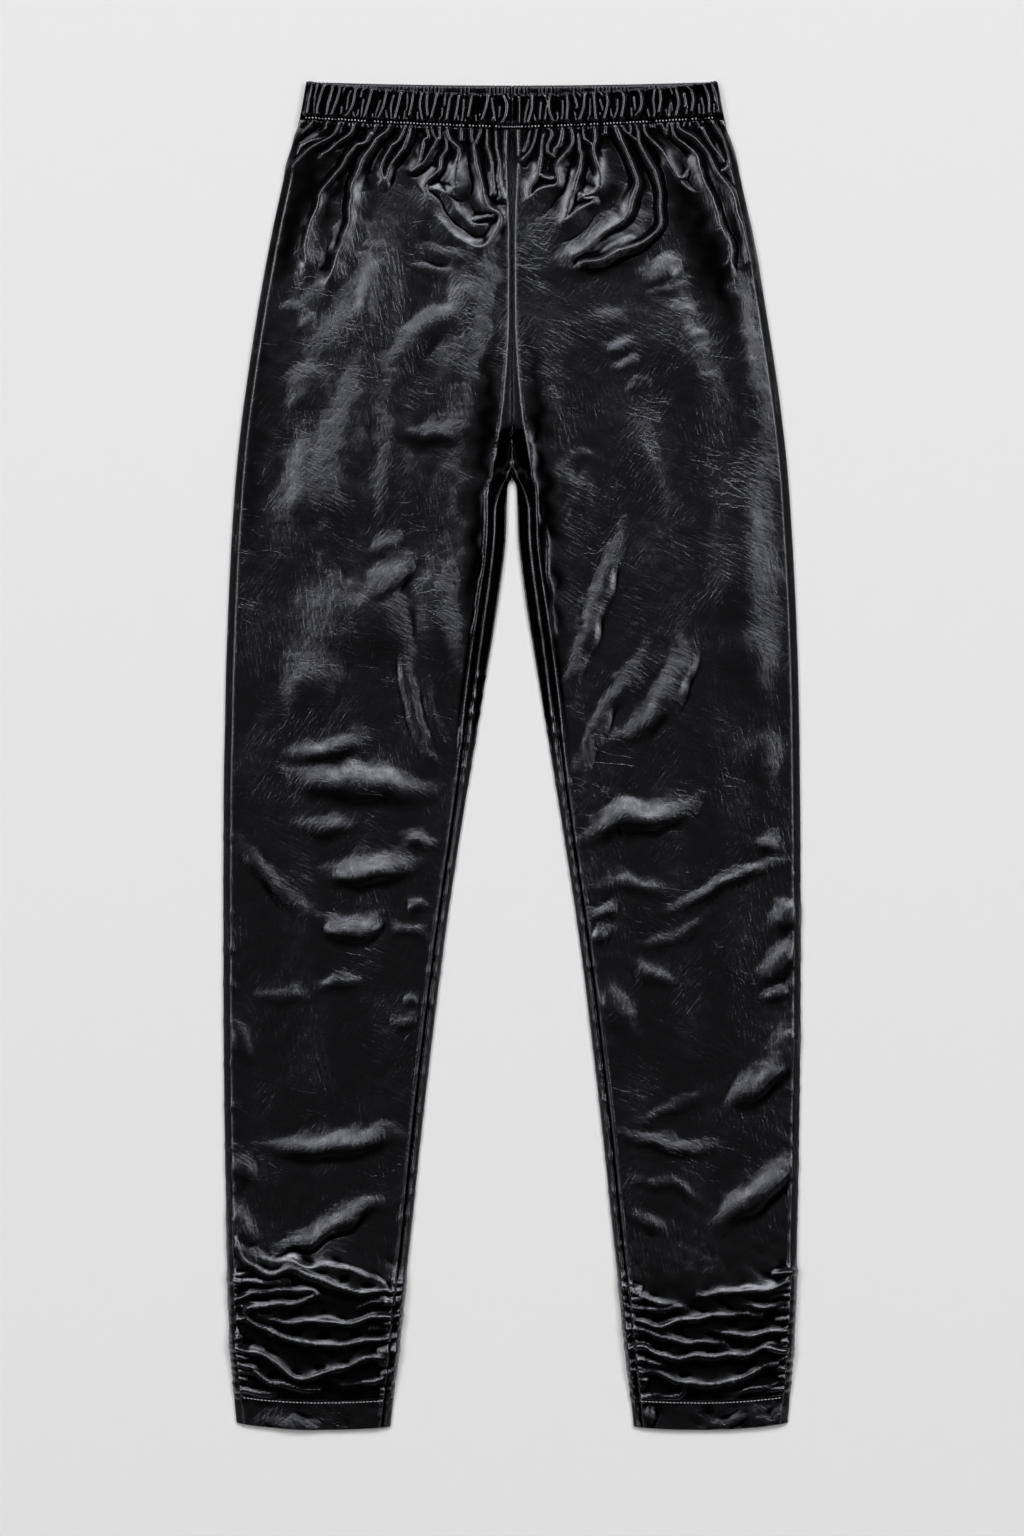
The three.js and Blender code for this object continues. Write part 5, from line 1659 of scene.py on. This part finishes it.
def casing_pleat(path, wide, rise):
    """A pleat of the casing: a gather that keeps its width and rise to the end."""
    wide, rise = CASING_WIDTH * wide, CASING_RISE * rise
    row = dict(zip(GATHER_COLUMNS, (path, wide, wide, rise, wide, wide, rise)))
    return dict(row, crest=CASING_CREST)


CASING_PLEATS = [casing_pleat(*row) for row in CASING_RIGHT + CASING_LEFT]
print(len(CASING_PLEATS), "pleats in the casing")

# %% Upper face of the casing
CASING_LOW = 5.9  # level from which the pleats rise
JOIN_FLAT, JOIN_RIM = 2.3, 3.1  # rise of the flat patch over the join, and of the fold beside it
JOIN_RIM_Y = (450, 454, 458, 463, 467, 471)
JOIN_RIM_X = (-7, -4.8, -4.0, -3.7, -5.0, -7.8)


def casing_height(x, y):
    """Upper face of the front casing: pleats above the stitches, the panel's folds below."""
    pleats = np.zeros(x.shape)
    for fold in CASING_PLEATS:
        pleat(pleats, x, y, fold)
    # the flat patch over the join of the elastic, with a curved fold along its left side
    patch = 1 - smoothstep(np.abs(x - 0.6), 4.6, 7.4)
    flat = JOIN_FLAT + 0.25 * np.exp(-((x - 0.2) ** 2) / 0.35)
    flat = flat + 0.35 * smoothstep(y, 464, 470) * waves(x, y, 4, 44)
    pleats = pleats * (1 - patch) + flat * patch
    from_rim = np.sqrt((x - np.interp(y, JOIN_RIM_Y, JOIN_RIM_X)) ** 2 + 0.8) - 0.9
    pleats = np.maximum(pleats, JOIN_RIM - 0.62 * from_rim - 9 * (x > 0))
    upper = CASING_LOW + pleats + 0.08 * waves(x, y, 9, 41)
    lower = upper_side(y) + fold_field(x, y)
    above = smoothstep(y - casing_stitch(x), -0.7, 1.0)
    return lower + (upper - lower) * above + stitched_down(x, y)


# %% The two faces of the casing
CASING_MID = 4.85  # height of the edge where the front and the back casing meet
CASING_ROLL, CASING_TURN = 1.8, 4.2  # radius of the fold at the top edge, and at the side


def front_faces(x, y, top, ripple, tilt, lean):
    """Heights of the outer and the inner face of the front casing. tilt falls from 1 to 0 over
    the roll at the top edge, and lean over the turn at the side."""
    face = casing_height(x, y) + 1.2 * ripple * np.exp(-(((top - y) / 2.6) ** 2))
    middle = face - CASING_ROLL
    outer = CASING_MID + (middle + CASING_ROLL * tilt - CASING_MID) * lean
    inner = CASING_MID + (middle - CASING_ROLL * tilt - 0.1 - CASING_MID) * lean
    inner = np.maximum(np.minimum(inner, outer - 0.1), CASING_MID + 0.02)
    return np.maximum(outer, inner + 0.05), inner


def back_faces(u, y, ripple, tilt, lean):
    """The same for the back casing, which lies on the table."""
    meet = CASING_MID - 0.15
    inside = 2.9 + 0.9 * ripple * smoothstep(y, 466, 472) * lean
    under = np.clip(0.25 + 0.25 * waves(u, y, 8, 43) + ripple, 0, 0.9)
    middle = 0.5 * (under + inside)
    outer = meet - (meet - middle - (under - middle) * tilt) * lean
    inner = meet - (meet - middle - 0.05 - (inside - middle) * tilt) * lean
    return outer, np.minimum(inner, meet)


# %% A quarter of the waistband
ROLL_STEPS, TURN_STEPS = 7, 8
EDGE_THICK = 1.6


def casing_grid(side, front, columns, rows):
    """Outer and inner face of a quarter of the waistband."""
    seam_dip, top_dip = BACK_SEAM_DIP, BACK_TOP_DIP
    if front:
        seam_dip, top_dip = FRONT_SEAM_DIP, FRONT_TOP_DIP
    # the angle of the turn at the side and of the roll at the top, and the shares across and up
    turn = np.concatenate([np.zeros(columns), np.linspace(0, math.pi / 2, TURN_STEPS + 1)])
    across = np.concatenate([np.linspace(0, 1, columns + 1)[:-1], np.ones(TURN_STEPS + 1)])
    flat_rows = rows + 1 - ROLL_STEPS
    roll = np.concatenate([np.zeros(flat_rows), np.linspace(0, math.pi / 2, ROLL_STEPS + 1)])
    upward = np.concatenate([np.linspace(0, 1, flat_rows + 1)[:-1], np.ones(ROLL_STEPS + 1)])
    roll, upward = roll[:, None], upward[:, None]
    edge = outer_edge(BAND_Y + (TOP_Y - BAND_Y) * upward)
    start = SEAM_GAP / 2
    corner = 1.6 * (roll / (math.pi / 2)) ** 2 * (across >= 1)
    u = start + (edge - CASING_TURN - start) * across + (CASING_TURN - corner) * np.sin(turn)
    low = BAND_Y + SEAM_GAP / 2 - dipped(seam_dip, u, BAND_Y)
    beat = side * u / 2.4 + 0.4 * waves(side * u, 0 * u, 15, 42)
    ripple = 0.22 * np.cos(2 * math.pi * beat)
    top = TOP_Y - dipped(top_dip, u, TOP_Y) + ripple - 0.3
    y = low + (top - CASING_ROLL - low) * upward + CASING_ROLL * np.sin(roll)
    tilt, lean = np.cos(roll), np.cos(turn)
    if front:
        outer_z, inner_z = front_faces(side * u, y, top, ripple, tilt, lean)
    else:
        outer_z, inner_z = back_faces(u, y, ripple, tilt, lean)
    outer = np.stack([side * u, y, outer_z], axis=-1)
    inner = np.stack([side * (u - EDGE_THICK * np.sin(turn)), y, inner_z], axis=-1)
    return outer, inner


# %% Waistband
CASING_FRONT_STEPS, CASING_BACK_STEPS = (336, 44), (250, 30)  # across and up

for name, side in SIDES.items():
    outer, inner = casing_grid(side, True, *CASING_FRONT_STEPS)
    points, polygons = shell(outer, inner, side < 0)
    piece = add_cloth("casing_front_" + name, points, polygons, casing_cloth)
    pieces["waistband_front_" + name] = piece
    outer, inner = casing_grid(side, False, *CASING_BACK_STEPS)
    points, polygons = shell(outer, with_form(inner), side > 0)
    piece = add_cloth("casing_back_" + name, points, polygons, casing_cloth)
    pieces["waistband_back_" + name] = piece
print("waistband:", [p for p in pieces if p.startswith("waistband")])

# %% [markdown]
# ## Stitches
#
# Each stitch is a small capsule that lies in the groove it makes. They are joined into one
# piece for the casing and one for each hem. A curve with a round bevel would look like a cord,
# and the real thread shows as separate short stitches.

# %% Thread
thread = bpy.data.materials.new("polyester_thread")
thread.use_nodes = True
thread_shader = thread.node_tree.nodes["Principled BSDF"]
thread_shader.inputs["Base Color"].default_value = (0.62, 0.62, 0.64, 1)
thread_shader.inputs["Roughness"].default_value = 0.42
thread_shader.inputs["Specular IOR Level"].default_value = 0.5

CAPSULE_AROUND = 8
CAPSULE_RINGS = [(-0.46, 0.6), (-0.3, 1.0), (0.3, 1.0), (0.46, 0.6)]  # share of length, of radius


def capsules(name, centres, directions, length, radius):
    """One mesh of small capsules, each with its middle at a centre and along a direction."""
    angle = np.linspace(0, 2 * math.pi, CAPSULE_AROUND, endpoint=False)
    axis = directions / np.linalg.norm(directions, axis=1, keepdims=True)
    across = np.cross(axis, (0, 0, 1.0))
    across /= np.linalg.norm(across, axis=1, keepdims=True)
    up = np.cross(across, axis)
    points, faces = [], []
    for c, a, r, n in zip(centres, axis, across, up):
        first = len(points)
        points.append(c - 0.5 * length * a)
        for place, wide in CAPSULE_RINGS:
            for t in angle:
                off = radius * wide * (math.cos(t) * r + math.sin(t) * n)
                points.append(c + a * length * place + off)
        points.append(c + 0.5 * length * a)
        last = len(points) - 1
        for k in range(CAPSULE_AROUND):
            j = (k + 1) % CAPSULE_AROUND
            faces.append((first, first + 1 + j, first + 1 + k))
            faces.append((last, last - CAPSULE_AROUND + k, last - CAPSULE_AROUND + j))
            for ring in range(len(CAPSULE_RINGS) - 1):
                a0 = first + 1 + ring * CAPSULE_AROUND
                b0 = a0 + CAPSULE_AROUND
                faces.append((a0 + k, a0 + j, b0 + j))
                faces.append((a0 + k, b0 + j, b0 + k))
    return add_cloth(name, np.array(points), [np.array(faces)], thread)


# %% Stitches of the casing
stitches = {}
STITCH_STEP, STITCH_LONG, STITCH_RADIUS = 2.33, 1.0, 0.58
x = np.arange(-146.5, 146.6, STITCH_STEP)
x = x[np.abs(x) > 7.2]
# over the join of the elastic they are closer
x = np.concatenate([x, np.linspace(-6.6, 6.6, 9)])
y = casing_stitch(x)
points = np.stack([x, y, casing_height(x, y) + 0.55], 1)
slope = casing_stitch(x + 0.5) - casing_stitch(x - 0.5)
way = np.stack([1 + 0 * x, slope, 0 * x], 1)
stitches["casing"] = capsules("stitches_casing", points, way, STITCH_LONG, STITCH_RADIUS)
print(len(x), "stitches in the casing")

# %% Stitches of the hems
HEM_STITCH_STEP, HEM_STITCH_LONG, HEM_STITCH_RADIUS = 2.5, 1.7, 0.22
level = CUFF_Y - 1.3
seam = outer_edge(level) - SIDE_STRIP
for name, side in SIDES.items():
    u = np.arange(float(inner_seam(level)) + 1.5, float(seam) - 1.5, HEM_STITCH_STEP)
    row = np.full(u.shape, level)
    y = bent_row(row, u, FRONT_SEAM_DIP)
    points = np.stack([side * u, y, upper_height(side * u, y, row, seam) + 0.1], 1)
    after, before = (bent_row(row, u + step, FRONT_SEAM_DIP) for step in (0.5, -0.5))
    way = np.stack([1 + 0 * u, (after - before) * side, 0 * u], 1)
    stitches[name] = capsules(
        "stitches_hem_" + name, points, way, HEM_STITCH_LONG, HEM_STITCH_RADIUS
    )
print("stitches:", len(stitches), "pieces")

# %% [markdown]
# ## Bodies and cuts
#
# The leggings don't move, so every piece rides on the one body of the model and stands for the
# plain solid of the same name. The panels are wider as cut than as they lie, because elastic
# gathers them at the waist and the seams at the ankle.

# %% Ride, and the plain parts hidden
for node, piece in pieces.items():
    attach(piece, "root")
    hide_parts(node)
for piece in stitches.values():
    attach(piece, "root")

# %% Cloth as cut
CUTS = {  # width, length, area in metres, how it is held, what it rests on, by kind of piece
    "front": ((0.215, 0.975), 0.150, "gathered", "back"),
    "back": ((0.262, 0.975), 0.172, "gathered", "table"),
    "hem_front": ((0.105, 0.023), 0.0024, "laid", "hem_back"),
    "hem_back": ((0.128, 0.023), 0.0028, "laid", "table"),
    "waistband_front": ((0.200, 0.031), 0.0061, "gathered", "waistband_back"),
    "waistband_back": ((0.200, 0.031), 0.0061, "gathered", "table"),
}
for kind, (flat, area, held, under) in CUTS.items():
    for name in SIDES:
        piece = pieces[kind + "_" + name]
print("sheets:", len(pieces))
